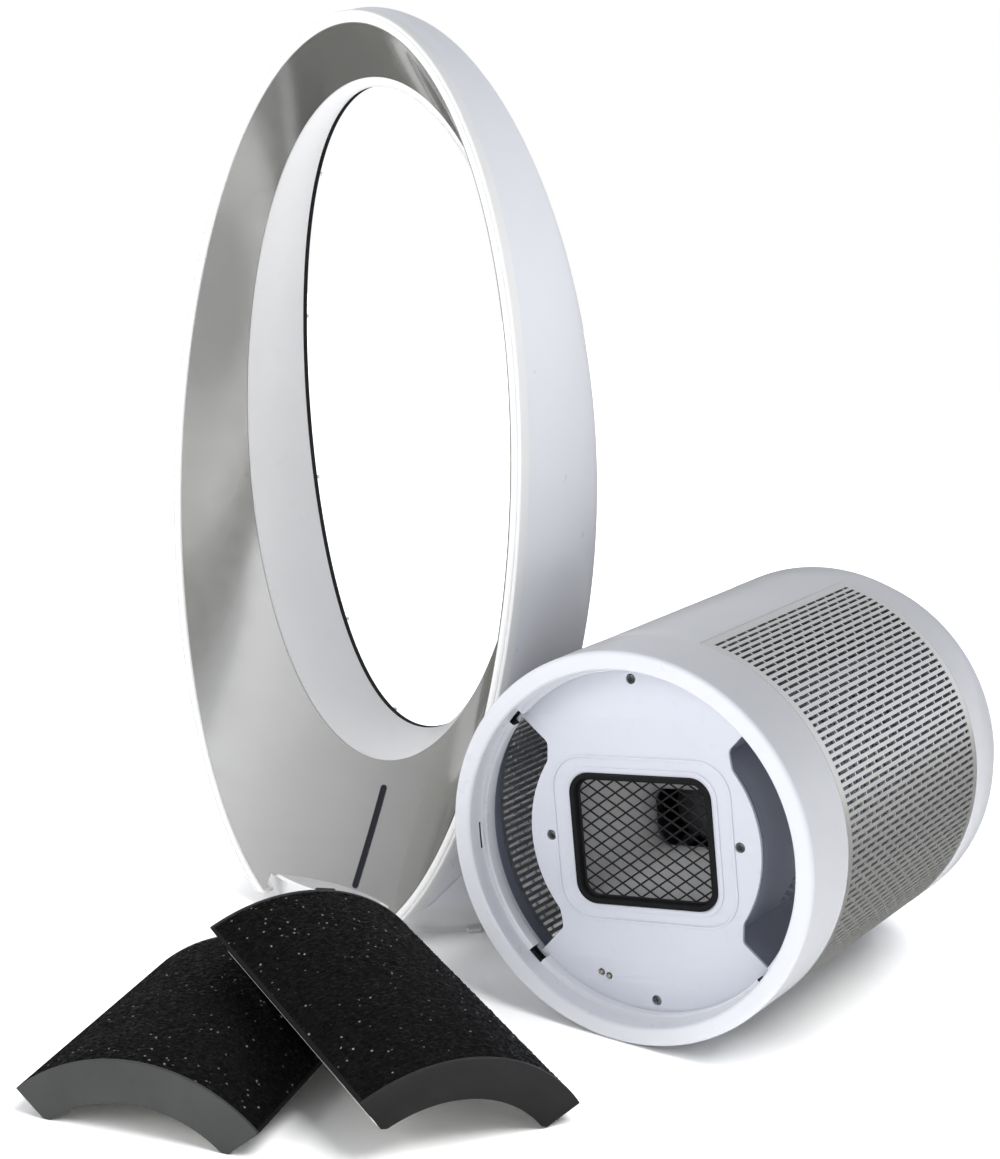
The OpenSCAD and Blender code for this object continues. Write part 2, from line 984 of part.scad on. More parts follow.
module loop_collar() {
    color("whitesmoke")
        stand_loop()
            translate([0, collar_back, 0]) {
                translate([0, 0, flange_low])
                    linear_extrude(loop_foot - flange_low)
                        difference() {
                            circle(r = collar_r, $fn = 128);
                            rounded(outlet_w - 6, outlet_h - 6, outlet_r - 3);
                            for (a = post_spots)
                                rotate(a)
                                    translate([90, 0])
                                        circle(r = 2.1);
                        }
                tube(plug_r - 4.5, ledge_r - 0.5, 0, 5);
                tube(plug_r - 3.5, plug_r, 5, flange_low + eps);
                translate([0, 0, gasket_high])
                    linear_extrude(flange_low + eps - gasket_high)
                        frame_2d(outlet_w, outlet_h, outlet_r, 2.9);
                for (mid = [0, 180], s = [-1, 1])
                    rotate([0, 0, mid + s * slot_half_angle + 8])
                        translate([ledge_r - 1.5, -4, 0.4])
                            cube([plug_r + 1.9 - ledge_r + 1.5, 8, 2]);
                rotate([0, 0, pad_angle])
                    translate([80.5, -7, 0.5])
                        cube([14, 14, flange_low + eps - 0.5]);
            }
}

module collar_gasket() {
    color("black")
        stand_loop()
            translate([0, collar_back, 0.2])
                linear_extrude(gasket_high - 0.2)
                    frame_2d(outlet_w, outlet_h, outlet_r, 2.9);
}

module contact_pads() {
    color("gold")
        stand_loop()
            translate([0, collar_back, 0])
                for (s = pin_spots)
                    spot(s)
                        translate([-2, -2, 0.1])
                            cube([4, 4, 0.4]);
}

module loop_screws() {
    color("dimgray")
        stand_loop()
            translate([0, collar_back, flange_low])
                for (a = post_spots)
                    rotate([0, 0, a])
                        translate([90, 0, 0])
                            rotate([180, 0, 0])
                                pan_screw(3.8, 1.8, 2, 11);
}

// ---------- filters ----------

cap_t = 2.5;
rail_t = 1.6;
core_mid = 84;

// Arch between two radii over a half angle, from y0 to y1, cut flat underneath
module arch(r0, r1, half, y0, y1) {
    intersection() {
        translate([0, y1, 0])
            rotate([90, 0, 0])
                rotate([0, 0, 90 - half])
                    rotate_extrude(angle = 2 * half)
                        translate([r0, 0])
                            square([r1 - r0, y1 - y0]);
        translate([-120, y0 - 1, flat_z])
            cube([240, y1 - y0 + 2, 120]);
    }
}

module carbon_block() {
    color("#232322")
        arch(core_mid, filter_out - 0.3, filter_half - 1.2, cap_t, filter_l - cap_t);
}

module particle_block() {
    color("beige")
        arch(filter_in + 0.4, core_mid, filter_half - 1.2, cap_t, filter_l - cap_t);
}

module end_caps() {
    color("#4a4a4c") {
        arch(filter_in, filter_out, filter_half, 0, cap_t);
        arch(filter_in, filter_out, filter_half, filter_l - cap_t, filter_l);
    }
}

module side_rails() {
    color("#3c3c3e")
        for (s = [-1, 1])
            difference() {
                intersection() {
                    arch(filter_in, filter_out, filter_half, cap_t, filter_l - cap_t);
                    translate([s * 60 - 60, 0, 0])
                        cube([120, filter_l, 120]);
                }
                translate([0, filter_l / 2, 0])
                    rotate([90, 0, 0])
                        rotate([0, 0, 90 - filter_half + 1.2])
                            rotate_extrude(angle = 2 * (filter_half - 1.2))
                                translate([filter_in - 5, -filter_l])
                                    square([40, 2 * filter_l]);
            }
}

module pull_tab() {
    color("#2c2c2e")
        translate([-6, filter_l, filter_out - 6])
            difference() {
                cube([12, 2, 6]);
                translate([4, -1, 3])
                    cube([4, 4, 1.6]);
            }
}

module left_carbon_block() {
    place_left_filter()
        carbon_block();
}

module left_particle_block() {
    place_left_filter()
        particle_block();
}

module left_end_caps() {
    place_left_filter()
        end_caps();
}

module left_side_rails() {
    place_left_filter()
        side_rails();
}

module left_pull_tab() {
    place_left_filter()
        pull_tab();
}

module right_carbon_block() {
    place_right_filter()
        carbon_block();
}

module right_particle_block() {
    place_right_filter()
        particle_block();
}

module right_end_caps() {
    place_right_filter()
        end_caps();
}

module right_side_rails() {
    place_right_filter()
        side_rails();
}

module right_pull_tab() {
    place_right_filter()
        pull_tab();
}

// ---------- nodes ----------

lay_base() body_housing();
lay_base() top_ring();
lay_base() top_plate();
lay_base() plate_screws();
lay_base() window_gasket();
lay_base() mesh_guard();
lay_base() contact_pins();
lay_base() latch_springs();
lay_base() left_grille();
lay_base() right_grille();
lay_base() left_inner_screen();
lay_base() right_inner_screen();
lay_base() bay_frame();
lay_base() chassis_floor();
lay_base() chassis_screws();
lay_base() blower_housing();
lay_base() blower_bushes();
lay_base() throat_plate();
lay_base() outlet_duct();
lay_base() motor_mount();
lay_base() motor();
lay_base() motor_shaft();
lay_base() impeller();
lay_base() control_board();
lay_base() power_board();
lay_base() swing_motor();
lay_base() swing_pinion();
lay_base() swivel_bearing();
lay_base() foot();
lay_base() foot_plate();
lay_base() foot_gear();
lay_base() gear_clip();
lay_base() rubber_feet();
lay_base() power_inlet();
lay_base() display_window();
lay_base() power_button();
lay_base() button_switch();
loop_rim();
loop_panel();
loop_inner_ring();
loop_shell();
loop_skirt();
slot_seal();
slot_spacers();
light_bar();
light_board();
loop_collar();
collar_gasket();
contact_pads();
loop_screws();
left_carbon_block();
left_particle_block();
left_end_caps();
left_side_rails();
left_pull_tab();
right_carbon_block();
right_particle_block();
right_end_caps();
right_side_rails();
right_pull_tab();
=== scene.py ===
"""Looks of the tower fan without visible blades, taken apart for cleaning.

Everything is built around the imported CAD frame. Lengths are in millimetres in the frame of each
unit (base, loop, left or right filter), and OBJECT_PLACES puts each unit where the CAD has it.
A piece that stands for CAD nodes keeps their size and place.
"""

import contextlib
import math

import bmesh
import bpy
from mathutils import Matrix, Vector, noise


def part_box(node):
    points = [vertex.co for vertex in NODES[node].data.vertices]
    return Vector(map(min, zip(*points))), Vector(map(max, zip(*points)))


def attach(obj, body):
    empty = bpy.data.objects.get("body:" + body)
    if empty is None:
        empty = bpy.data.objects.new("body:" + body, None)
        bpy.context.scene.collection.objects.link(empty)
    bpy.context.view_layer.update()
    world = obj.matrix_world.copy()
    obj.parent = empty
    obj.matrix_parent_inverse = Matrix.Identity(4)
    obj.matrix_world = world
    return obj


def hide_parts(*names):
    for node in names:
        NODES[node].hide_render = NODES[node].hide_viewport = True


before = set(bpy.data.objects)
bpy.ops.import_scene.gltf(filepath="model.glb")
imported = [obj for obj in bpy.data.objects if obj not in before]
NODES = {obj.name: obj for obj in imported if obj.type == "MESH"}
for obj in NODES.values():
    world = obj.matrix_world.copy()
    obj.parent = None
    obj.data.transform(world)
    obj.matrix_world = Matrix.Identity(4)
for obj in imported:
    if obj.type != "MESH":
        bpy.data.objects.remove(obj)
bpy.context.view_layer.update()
MM = 0.001
TAU = 2 * math.pi

# ---------------------------------------------------------------- places


def turn(axis, degrees):
    return Matrix.Rotation(math.radians(degrees), 4, axis)


def shift(x, y, z):
    return Matrix.Translation((x * MM, y * MM, z * MM))


BASE_R, BASE_H, BASE_ROLL = 110.0, 278.0, 9.5
FILTER_OUT, FILTER_IN, FILTER_HALF, FILTER_L = 95.8, 73.0, 42.8, 183.0
FLAT_Z = FILTER_IN * math.cos(math.radians(FILTER_HALF)) + 3

ring_low_corner, ring_high_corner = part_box("top_ring")
BX = (ring_low_corner.x + ring_high_corner.x) / 2 / MM
BY = ring_low_corner.y / MM
rim_low_corner, rim_high_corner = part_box("loop_rim")
LX = (rim_low_corner.x + rim_high_corner.x) / 2 / MM
LY = rim_low_corner.y / MM

# The objects' boxes stay tight because the base unit's roll about its own axis and the lean of
# the right filter go into their meshes.
OBJECT_PLACES = {
    "base": shift(BX, BY + BASE_H, BASE_R) @ turn("X", 90),
    "loop": shift(LX, LY, 0),
    "left": shift(BX - 131.85, BY - 249.85, -FLAT_Z) @ turn("Z", 14.5),
    "right": shift(BX - 7.47, BY - 165.23, -44.93) @ turn("Z", 63),
}
MESH_TURNS = {
    "base": turn("Z", BASE_ROLL),
    "right": turn("Y", 11.0) @ turn("X", 7.8),
}

# ---------------------------------------------------------------- materials

BLACK, WHITE = (0, 0, 0, 1), (1, 1, 1, 1)


def shade(color, factor):
    return tuple(min(1.0, c * factor) for c in color[:3]) + (1.0,)


class Net:
    """Node tree being written. A socket is given a constant or another node's output."""

    def __init__(self, tree):
        self.nodes, self.links = tree.nodes, tree.links

    def feed(self, node, sockets):
        for key, value in sockets.items():
            if isinstance(value, bpy.types.NodeSocket):
                self.links.new(value, node.inputs[key])
            else:
                node.inputs[key].default_value = value

    def add(self, kind, sockets, **fields):
        node = self.nodes.new("ShaderNode" + kind)
        for key, value in fields.items():
            setattr(node, key, value)
        self.feed(node, sockets)
        return node.outputs

    def ramp(self, value, stops, interpolation="LINEAR"):
        node = self.nodes.new("ShaderNodeValToRGB")
        node.color_ramp.interpolation = interpolation
        elements = node.color_ramp.elements
        while len(elements) < len(stops):
            elements.new(0.5)
        for element, (position, color) in zip(elements, stops):
            element.position = position
            element.color = color
        self.links.new(value, node.inputs["Fac"])
        return node.outputs["Color"]

    def mix(self, factor, a, b, blend="MIX"):
        return self.add("Mix", {"Factor": factor, "A": a, "B": b},
                        data_type="RGBA", blend_type=blend)["Result"]


def new_material(name):
    mat = bpy.data.materials.new(name)
    mat.use_nodes = True
    return mat, Net(mat.node_tree), mat.node_tree.nodes["Principled BSDF"]


def material(name, color, rough, metal=0.0, vary=0.03, broad=14.0, rough_vary=0.05, grain=1400.0,
             bump=0.05, depth=0.00005, coat=0.0, coat_rough=0.08, spec=0.5, stretch=(1, 1, 1),
             marks=0.0):
    """Moulded, painted or metal surface: broad colour drift, fine grain in the bump, and faint
    handling marks in the colour."""
    mat, net, bsdf = new_material(name)
    coords = net.add("TexCoord", {})["Object"]
    place = net.add("Mapping", {"Scale": stretch, "Vector": coords})["Vector"]

    def noise_of(scale, detail):
        return net.add("TexNoise", {"Scale": scale, "Detail": detail, "Vector": place})["Fac"]

    base = net.ramp(noise_of(broad, 3), [(0.34, shade(color, 1 - vary)),
                                         (0.66, shade(color, 1 + vary))])
    if marks:
        scuff = net.ramp(noise_of(broad * 9, 6), [(0.60, BLACK), (0.72, WHITE)])
        share = net.add("Math", {0: scuff, 1: marks}, operation="MULTIPLY")["Value"]
        base = net.mix(share, base, (0.55, 0.54, 0.52, 1), "MULTIPLY")
    spread = net.add("MapRange", {"Value": noise_of(broad * 5, 5),
                                  "To Min": max(0.02, rough - rough_vary),
                                  "To Max": rough + rough_vary * 1.6})
    lift = net.add("Bump", {"Strength": bump, "Distance": depth, "Height": noise_of(grain, 2)})
    net.feed(bsdf, {"Metallic": metal, "Specular IOR Level": spec, "Coat Weight": coat,
                    "Coat Roughness": coat_rough, "Base Color": base,
                    "Roughness": spread["Result"], "Normal": lift["Normal"]})
    return mat


def granules(name, dark, glint_colour, size, bump):
    """Bed of carbon grains: rounded cells, each with its own grey, a few of them with a painted
    glint: a bright spot in the colour, strongest at the grain's middle.
    """
    mat, net, bsdf = new_material(name)
    coords = net.add("TexCoord", {})["Object"]
    cells = net.add("TexVoronoi", {"Scale": size, "Randomness": 1.0, "Vector": coords})
    fine = net.add("TexNoise", {"Scale": size * 3, "Detail": 4, "Vector": coords})["Fac"]
    pick = net.add("SeparateColor", {"Color": cells["Color"]})
    tone = net.ramp(pick["Green"], [(0, shade(dark, 0.45)), (1, shade(dark, 2.1))])
    # Painted glints: a few cells get a bright colour spot, fading out from their middle.
    glint_spots = net.ramp(pick["Red"], [(0, BLACK), (0.955, WHITE)], "CONSTANT")
    core = net.add("MapRange", {"Value": cells["Distance"], "From Min": 0.40,
                                "From Max": 0.12})["Result"]
    share = net.add("Math", {0: glint_spots, 1: core}, operation="MULTIPLY")["Value"]
    gloss = net.add("MapRange", {"Value": pick["Blue"], "To Min": 0.78, "To Max": 0.42})
    height = net.add("Math", {0: fine, 1: 0.35, 2: cells["Distance"]},
                     operation="MULTIPLY_ADD")["Value"]
    lift = net.add("Bump", {"Strength": bump, "Distance": 0.0009, "Height": height}, invert=True)
    net.feed(bsdf, {"Specular IOR Level": 0.12, "Base Color": net.mix(share, tone, glint_colour),
                    "Roughness": gloss["Result"], "Normal": lift["Normal"]})
    return mat


LOOKS = {
    "white_gloss": dict(color=(0.80, 0.82, 0.87), rough=0.22, coat=0.35, bump=0.03, vary=0.012,
                        marks=0.05),
    "skin_white": dict(color=(0.88, 0.89, 0.935), rough=0.28, coat=0.2, bump=0.03, vary=0.010,
                       rough_vary=0.02),
    # Satin finish, and a darker colour than white_gloss that paints the shade on the housing's
    # sides and on the top ring's outer side.
    "housing_satin_painted_shade": dict(color=(0.70, 0.71, 0.735), rough=0.32, coat=0.15, bump=0.06, vary=0.012,
                          grain=1800, marks=0.05),
    "ring_white": dict(color=(0.79, 0.80, 0.845), rough=0.28, coat=0.3, bump=0.03, vary=0.01,
                       marks=0.03),
    "rim_white": dict(color=(0.93, 0.93, 0.92), rough=0.30, coat=0.2, bump=0.03, vary=0.01),
    "white_satin": dict(color=(0.86, 0.86, 0.86), rough=0.30, coat=0.15, bump=0.04, vary=0.015,
                        marks=0.04),
    "silver_panel": dict(color=(0.56, 0.555, 0.53), rough=0.20, metal=0.85, vary=0.03, coat=0.5,
                         coat_rough=0.06, grain=2600, bump=0.03, marks=0.06),
    "plate_plastic": dict(color=(0.68, 0.70, 0.765), rough=0.42, bump=0.08, vary=0.012,
                          marks=0.05),
    "grille_metal": dict(color=(0.70, 0.70, 0.675), rough=0.30, metal=0.8, vary=0.05, grain=900,
                         stretch=(1, 1, 0.08), bump=0.08, marks=0.08),
    "screen_metal": dict(color=(0.30, 0.31, 0.35), rough=0.42, metal=0.7, vary=0.05, bump=0.08),
    "black_plastic": dict(color=(0.012, 0.012, 0.013), rough=0.45, vary=0.2, bump=0.1),
    "black_gloss": dict(color=(0.003, 0.004, 0.010), rough=0.20, vary=0.1, coat=0.1, bump=0.01),
    "black_rubber": dict(color=(0.010, 0.010, 0.011), rough=0.68, vary=0.25, bump=0.2, grain=2200,
                         spec=0.3),
    "screw_steel": dict(color=(0.30, 0.30, 0.31), rough=0.36, metal=1.0, vary=0.12, broad=120,
                        bump=0.1),
    "contact_brass": dict(color=(0.50, 0.45, 0.36), rough=0.30, metal=1.0, vary=0.1, broad=200,
                          bump=0.05),
    "inner_plastic": dict(color=(0.30, 0.32, 0.39), rough=0.46, vary=0.05, bump=0.1),
    "duct_plastic": dict(color=(0.50, 0.50, 0.50), rough=0.40, vary=0.06, bump=0.08),
    "motor_steel": dict(color=(0.46, 0.46, 0.48), rough=0.34, metal=1.0, vary=0.06, broad=60,
                        stretch=(1, 1, 0.1), bump=0.08),
    "fan_plastic": dict(color=(0.035, 0.035, 0.038), rough=0.40, vary=0.15, bump=0.08),
    "gear_plastic": dict(color=(0.72, 0.69, 0.60), rough=0.45, vary=0.05, bump=0.08),
    "board": dict(color=(0.012, 0.085, 0.040), rough=0.34, vary=0.25, broad=90, coat=0.4,
                  grain=500, bump=0.2),
    "button_metal": dict(color=(0.52, 0.52, 0.53), rough=0.28, metal=0.9, vary=0.05, broad=80,
                         stretch=(1, 0.1, 1), bump=0.08),
    "particle_media": dict(color=(0.74, 0.73, 0.68), rough=0.85, vary=0.06, broad=60, grain=1500,
                           bump=0.5, depth=0.0002, spec=0.2),
    # Lighter grey copy of filter_plastic, with faint handling marks: the lighter colour is painted
    # light on the left filter's end caps.
    "left_cap_plastic": dict(color=(0.068, 0.070, 0.068), rough=0.48, vary=0.10, broad=30,
                             grain=1100, bump=0.25, depth=0.0001, marks=0.1),
    "filter_plastic": dict(color=(0.022, 0.022, 0.022), rough=0.44, vary=0.14, broad=30,
                           grain=1100, bump=0.25, depth=0.0001),
}
MATS = {name: material(name, **look) for name, look in LOOKS.items()}
# The carbon bed's bright specks are painted glints in its colour.
MATS["carbon_media"] = granules("carbon_media", dark=(0.0030, 0.0029, 0.0027),
                                glint_colour=(0.50, 0.49, 0.46, 1), size=500.0, bump=0.7)

# ---------------------------------------------------------------- mesh helpers


@contextlib.contextmanager
def editing(mesh):
    bm = bmesh.new()
    bm.from_mesh(mesh)
    yield bm
    bm.to_mesh(mesh)
    bm.free()


def smooth(mesh, sharp=35):
    mesh.shade_smooth()
    mesh.set_sharp_from_angle(angle=math.radians(sharp))
    return mesh


def link(name, data):
    obj = bpy.data.objects.new(name, data)
    bpy.context.scene.collection.objects.link(obj)
    return obj


def evaluated(obj, *others):
    """The object's final mesh; the object and its helpers are removed."""
    bpy.context.view_layer.update()
    graph = bpy.context.evaluated_depsgraph_get()
    result = bpy.data.meshes.new_from_object(obj.evaluated_get(graph))
    for used in (obj, *others):
        bpy.data.objects.remove(used)
    return result


def clean(mesh, sharp=35):
    with editing(mesh) as bm:
        bmesh.ops.remove_doubles(bm, verts=bm.verts, dist=2e-6)
        bmesh.ops.dissolve_degenerate(bm, dist=1e-6, edges=bm.edges)
        bmesh.ops.recalc_face_normals(bm, faces=bm.faces)
    return smooth(mesh, sharp)


def mesh_of(name, verts, faces):
    mesh = bpy.data.meshes.new(name)
    mesh.from_pydata([Vector(v) * MM for v in verts], [], faces)
    return clean(mesh)


def join_meshes(name, meshes):
    bm = bmesh.new()
    for mesh in meshes:
        bm.from_mesh(mesh)
    joined = bpy.data.meshes.new(name)
    bm.to_mesh(joined)
    bm.free()
    return smooth(joined)


def round_edges(mesh, width, segments=2, angle=50):
    with editing(mesh) as bm:
        edges = [e for e in bm.edges
                 if len(e.link_faces) == 2 and e.calc_face_angle(0) > math.radians(angle)]
        bmesh.ops.bevel(bm, geom=edges, offset=width * MM, segments=segments, profile=0.5,
                        affect="EDGES", clamp_overlap=True)
    return smooth(mesh, 40)


def moved(mesh, matrix):
    mesh.transform(matrix)
    return mesh


def lathe(profile, steps=192, sweep=(0.0, 360.0)):
    """Closed outline of (radius, height) turned about Z."""
    full = sweep[1] - sweep[0] >= 360
    count = steps if full else steps + 1
    m = len(profile)
    verts = []
    for i in range(count):
        a = math.radians(sweep[0] + (sweep[1] - sweep[0]) * i / steps)
        verts += [(r * math.cos(a), r * math.sin(a), z) for r, z in profile]
    faces = []
    for i in range(steps):
        k = (i + 1) % count
        for j in range(m):
            n = (j + 1) % m
            faces.append((i * m + j, k * m + j, k * m + n, i * m + n))
    if not full:
        faces.append(tuple(range(m)))
        faces.append(tuple(range((count - 1) * m, count * m)))
    return mesh_of("lathe", verts, faces)


def box_mesh(x0, x1, y0, y1, z0, z1):
    verts = [(x, y, z) for x in (x0, x1) for y in (y0, y1) for z in (z0, z1)]
    faces = [(0, 1, 3, 2), (4, 6, 7, 5), (0, 4, 5, 1), (2, 3, 7, 6), (0, 2, 6, 4), (1, 5, 7, 3)]
    return mesh_of("box", verts, faces)


def loft(rows, closed=True):
    """Skin over rows of points; each row is a closed outline."""
    m = len(rows[0])
    verts = [p for row in rows for p in row]
    faces = [(i * m + j, i * m + (j + 1) % m, (i + 1) * m + (j + 1) % m, (i + 1) * m + j)
             for i in range(len(rows) - 1) for j in range(m)]
    if closed:
        faces.append(tuple(range(m)))
        faces.append(tuple(range((len(rows) - 1) * m, len(rows) * m)))
    return mesh_of("loft", verts, faces)


def bar(outline, y0, y1):
    """Outline of (x, z) drawn out along Y."""
    return loft([[(x, y, z) for x, z in outline] for y in (y0, y1)])


def cut(mesh, cutters):
    """The mesh less the cutters, by exact booleans."""
    target = link("target", mesh)
    tool = link("tool", join_meshes("tools", cutters))
    modifier = target.modifiers.new("cut", "BOOLEAN")
    modifier.operation = "DIFFERENCE"
    modifier.solver = "EXACT"
    modifier.object = tool
    return clean(evaluated(target, tool))


def slice_below(mesh, height):
    """Removes what is under a level and closes the cut."""
    with editing(mesh) as bm:
        found = bmesh.ops.bisect_plane(
            bm, geom=bm.verts[:] + bm.edges[:] + bm.faces[:], dist=1e-7,
            plane_co=(0, 0, height * MM), plane_no=(0, 0, 1), clear_inner=True)
        edges = [g for g in found["geom_cut"] if isinstance(g, bmesh.types.BMEdge)]
        bmesh.ops.holes_fill(bm, edges=edges, sides=0)
        bmesh.ops.recalc_face_normals(bm, faces=bm.faces)
    return smooth(mesh)


def rounded_outline(w, h, r, steps=10):
    points = []
    for cx, cy, start in ((1, 1, 0), (-1, 1, 90), (-1, -1, 180), (1, -1, 270)):
        for k in range(steps + 1):
            a = math.radians(start + 90 * k / steps)
            points.append((cx * (w / 2 - r) + r * math.cos(a), cy * (h / 2 - r) + r * math.sin(a)))
    return points


def circle_outline(r, steps=48, centre=(0, 0)):
    return [(centre[0] + r * math.cos(TAU * k / steps), centre[1] + r * math.sin(TAU * k / steps))
            for k in range(steps)]


def slab(outlines, z0, z1, bevel=0.0):
    """Flat plate with holes: closed outlines filled between two heights, with rounded edges."""
    curve = bpy.data.curves.new("slab", "CURVE")
    curve.dimensions = "2D"
    curve.fill_mode = "BOTH"
    curve.extrude = ((z1 - z0) / 2 - bevel) * MM
    curve.bevel_depth = bevel * MM
    curve.bevel_resolution = 2
    curve.offset = -bevel * MM
    for outline in outlines:
        spline = curve.splines.new("POLY")
        spline.points.add(len(outline) - 1)
        for point, (x, y) in zip(spline.points, outline):
            point.co = (x * MM, y * MM, 0, 1)
        spline.use_cyclic_u = True
    return clean(moved(evaluated(link("slab", curve)), shift(0, 0, (z0 + z1) / 2)), 25)


def outwards(mesh):
    """Turns the faces of a curved sheet away from its axis."""
    with editing(mesh) as bm:
        bm.faces.ensure_lookup_table()
        first = bm.faces[0]
        centre = first.calc_center_median()
        if first.normal.dot(Vector((centre.x, centre.y, 0))) < 0:
            bmesh.ops.reverse_faces(bm, faces=bm.faces)
    return mesh


def sheet_grid(radius, angles, heights, kept):
    """Curved sheet at one radius made of the kept cells of a grid."""
    rows = len(heights)
    verts = [(radius * math.cos(math.radians(a)), radius * math.sin(math.radians(a)), z)
             for a in angles for z in heights]
    faces = [(i * rows + j, (i + 1) * rows + j, (i + 1) * rows + j + 1, i * rows + j + 1)
             for i in range(len(angles) - 1) for j in range(rows - 1)
             if kept((angles[i] + angles[i + 1]) / 2, (heights[j] + heights[j + 1]) / 2, i, j)]
    mesh = mesh_of("sheet", verts, faces)
    with editing(mesh) as bm:
        loose = [v for v in bm.verts if not v.link_faces]
        bmesh.ops.delete(bm, geom=loose, context="VERTS")
    return outwards(mesh)


def thicken(mesh, thickness, bevel=0.0):
    """Gives a sheet its thickness inwards, and rounds its edges."""
    obj = link("thick", mesh)
    solid = obj.modifiers.new("solid", "SOLIDIFY")
    solid.thickness = thickness * MM
    solid.offset = -1
    solid.use_even_offset = True
    result = evaluated(obj)
    if bevel:
        round_edges(result, bevel)
    return smooth(result, 40)


def piece(name, mesh, place, body, slot, stands_for=(), mat=None, extra=()):
    if place in MESH_TURNS:
        mesh.transform(MESH_TURNS[place])
    mesh.name = name
    mesh.materials.clear()
    for look in (mat or slot, *extra):
        mesh.materials.append(MATS[look])
    obj = link(name, mesh)
    obj.matrix_world = OBJECT_PLACES[place]
    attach(obj, body)
    if stands_for:
        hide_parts(*stands_for)
    return obj


def steps_between(breaks, longest):
    """The given break values with even steps no longer than asked in between."""
    out = [breaks[0]]
    for a, b in zip(breaks, breaks[1:]):
        count = max(1, math.ceil((b - a) / longest - 1e-9))
        out += [a + (b - a) * k / count for k in range(1, count + 1)]
    return out


# ---------------------------------------------------------------- base unit

RING_LOW, PLATE_TOP, LEDGE_TOP = 232.6, 258.0, 265.0
GRILLE_LOW, GRILLE_HIGH, GRILLE_HALF = 46.5, 232.5, 74.0
STRIP_MID, BUTTON_Z = 270.0, 168.0
OUTLET_W, OUTLET_H, OUTLET_R = 87.0, 74.0, 12.0
SHEET_T = 1.2


def near(angle, middle):
    return abs((angle - middle + 180) % 360 - 180)


def build_housing():
    breaks = [-74, 74, 106, 254, 259.9, 280.1, 286]
    angles = steps_between(breaks, 2.0)
    heights = steps_between([19.3, GRILLE_LOW, 187.9, 212.1, RING_LOW], 60)

    def kept(a, z, i, j):
        in_window = min(near(a, 0), near(a, 180)) < GRILLE_HALF and z > GRILLE_LOW
        in_display = near(a, STRIP_MID) < 10.1 and 187.9 < z < 212.1
        return not in_window and not in_display

    shell = thicken(sheet_grid(BASE_R, angles, heights, kept), 3.0, 0.45)
    hole = moved(lathe([(0.01, 0), (6.2, 0), (6.2, 30), (0.01, 30)], 48),
                 shift(0, -90, BUTTON_Z) @ turn("X", 90))
    shell = cut(shell, [hole])
    # The shell takes the darker white whose colour paints the shade on its sides.
    piece("housing_shell", shell, "base", "base", "white_gloss", ["body_housing"],
          mat="housing_satin_painted_shade")


def build_top_ring():
    def arc(cx, cz, r, a0, a1, n=6):
        return [(cx + r * math.cos(math.radians(a0 + (a1 - a0) * k / n)),
                 cz + r * math.sin(math.radians(a0 + (a1 - a0) * k / n))) for k in range(n + 1)]

    profile = ([(107, RING_LOW), (109.5, RING_LOW), (110, RING_LOW + 0.5)]
               + arc(107.6, 275.6, 2.4, 0, 90) + arc(101.3, 276.2, 1.8, 90, 180)
               + [(99.5, 265.5)] + [(99.1, LEDGE_TOP)] + arc(97.3, 264.2, 0.8, 90, 180, 3)
               + [(96.5, 258.2), (99.5, 258.2), (99.5, 255.5), (98.3, 255.5), (98.3, 253),
                  (102, 253), (102, 274.5), (107, 274.5)])
    ring = lathe(profile, 288)
    cutters = []
    for middle in (0, 180):
        for side in (-44, 44):
            cutters.append(moved(box_mesh(93.5, 103.5, -4.5, 4.5, 258.1, 265.5),
                                 turn("Z", middle + side)))
        cutters.append(moved(box_mesh(96.5, 103.5, -7.5, 7.5, 266.5, 268.1), turn("Z", middle)))
    ring = cut(ring, cutters)
    ring_piece = piece("rim_ring", ring, "base", "base", "white_gloss", ["top_ring"],
                       mat="ring_white",
                       extra=["inner_plastic", "black_plastic", "housing_satin_painted_shade"])
    for face in ring_piece.data.polygons:
        x, y, z = face.center / MM
        r, a = math.hypot(x, y), math.degrees(math.atan2(y, x)) - BASE_ROLL
        # Inner faces of the ring's hollow take the dark slate plastic: painted shade inside the
        # hollow.
        if 101.5 < r < 107.2 and 252 < z < 275 and not (r > 106 and z < 240):
            face.material_index = 1
        # Walls of the bayonet slots and of the slit are black: painted shade in these openings.
        offsets = [near(a, m + s) for m in (0, 180) for s in (-44, 44)]
        in_slot = min(offsets) < 2.9 and r < 103.8 and 258.05 < z < 265.55
        in_slit = min(near(a, 0), near(a, 180)) < 4.4 and 99.6 < r < 103.8 and 266.4 < z < 268.2
        if in_slot or in_slit:
            face.material_index = 2
        # The ring's outer side takes the darker housing colour: painted shade on that side.
        if r > 109.4 and z < 275.9:
            face.material_index = 3


def mouth_outline():
    """Half-ring mouth of a filter bay, its short sides flared towards the rim."""
    inner, half, bay_in, out = 36.7, 43.5, 71.0, 98.9
    points = []
    for k in range(25):
        a = math.radians(-inner + 2 * inner * k / 24)
        points.append((bay_in * math.cos(a), bay_in * math.sin(a)))
    edge = math.radians(half)
    step = 77.0
    arc_in = [(step * math.cos(edge), step * math.sin(edge))]
    arc_out = []
    for k in range(29):
        a = edge - 2 * edge * k / 28
        arc_out.append((out * math.cos(a), out * math.sin(a)))
    points += arc_in + arc_out + [(step * math.cos(edge), -step * math.sin(edge))]
    return soften(points, 2.2)


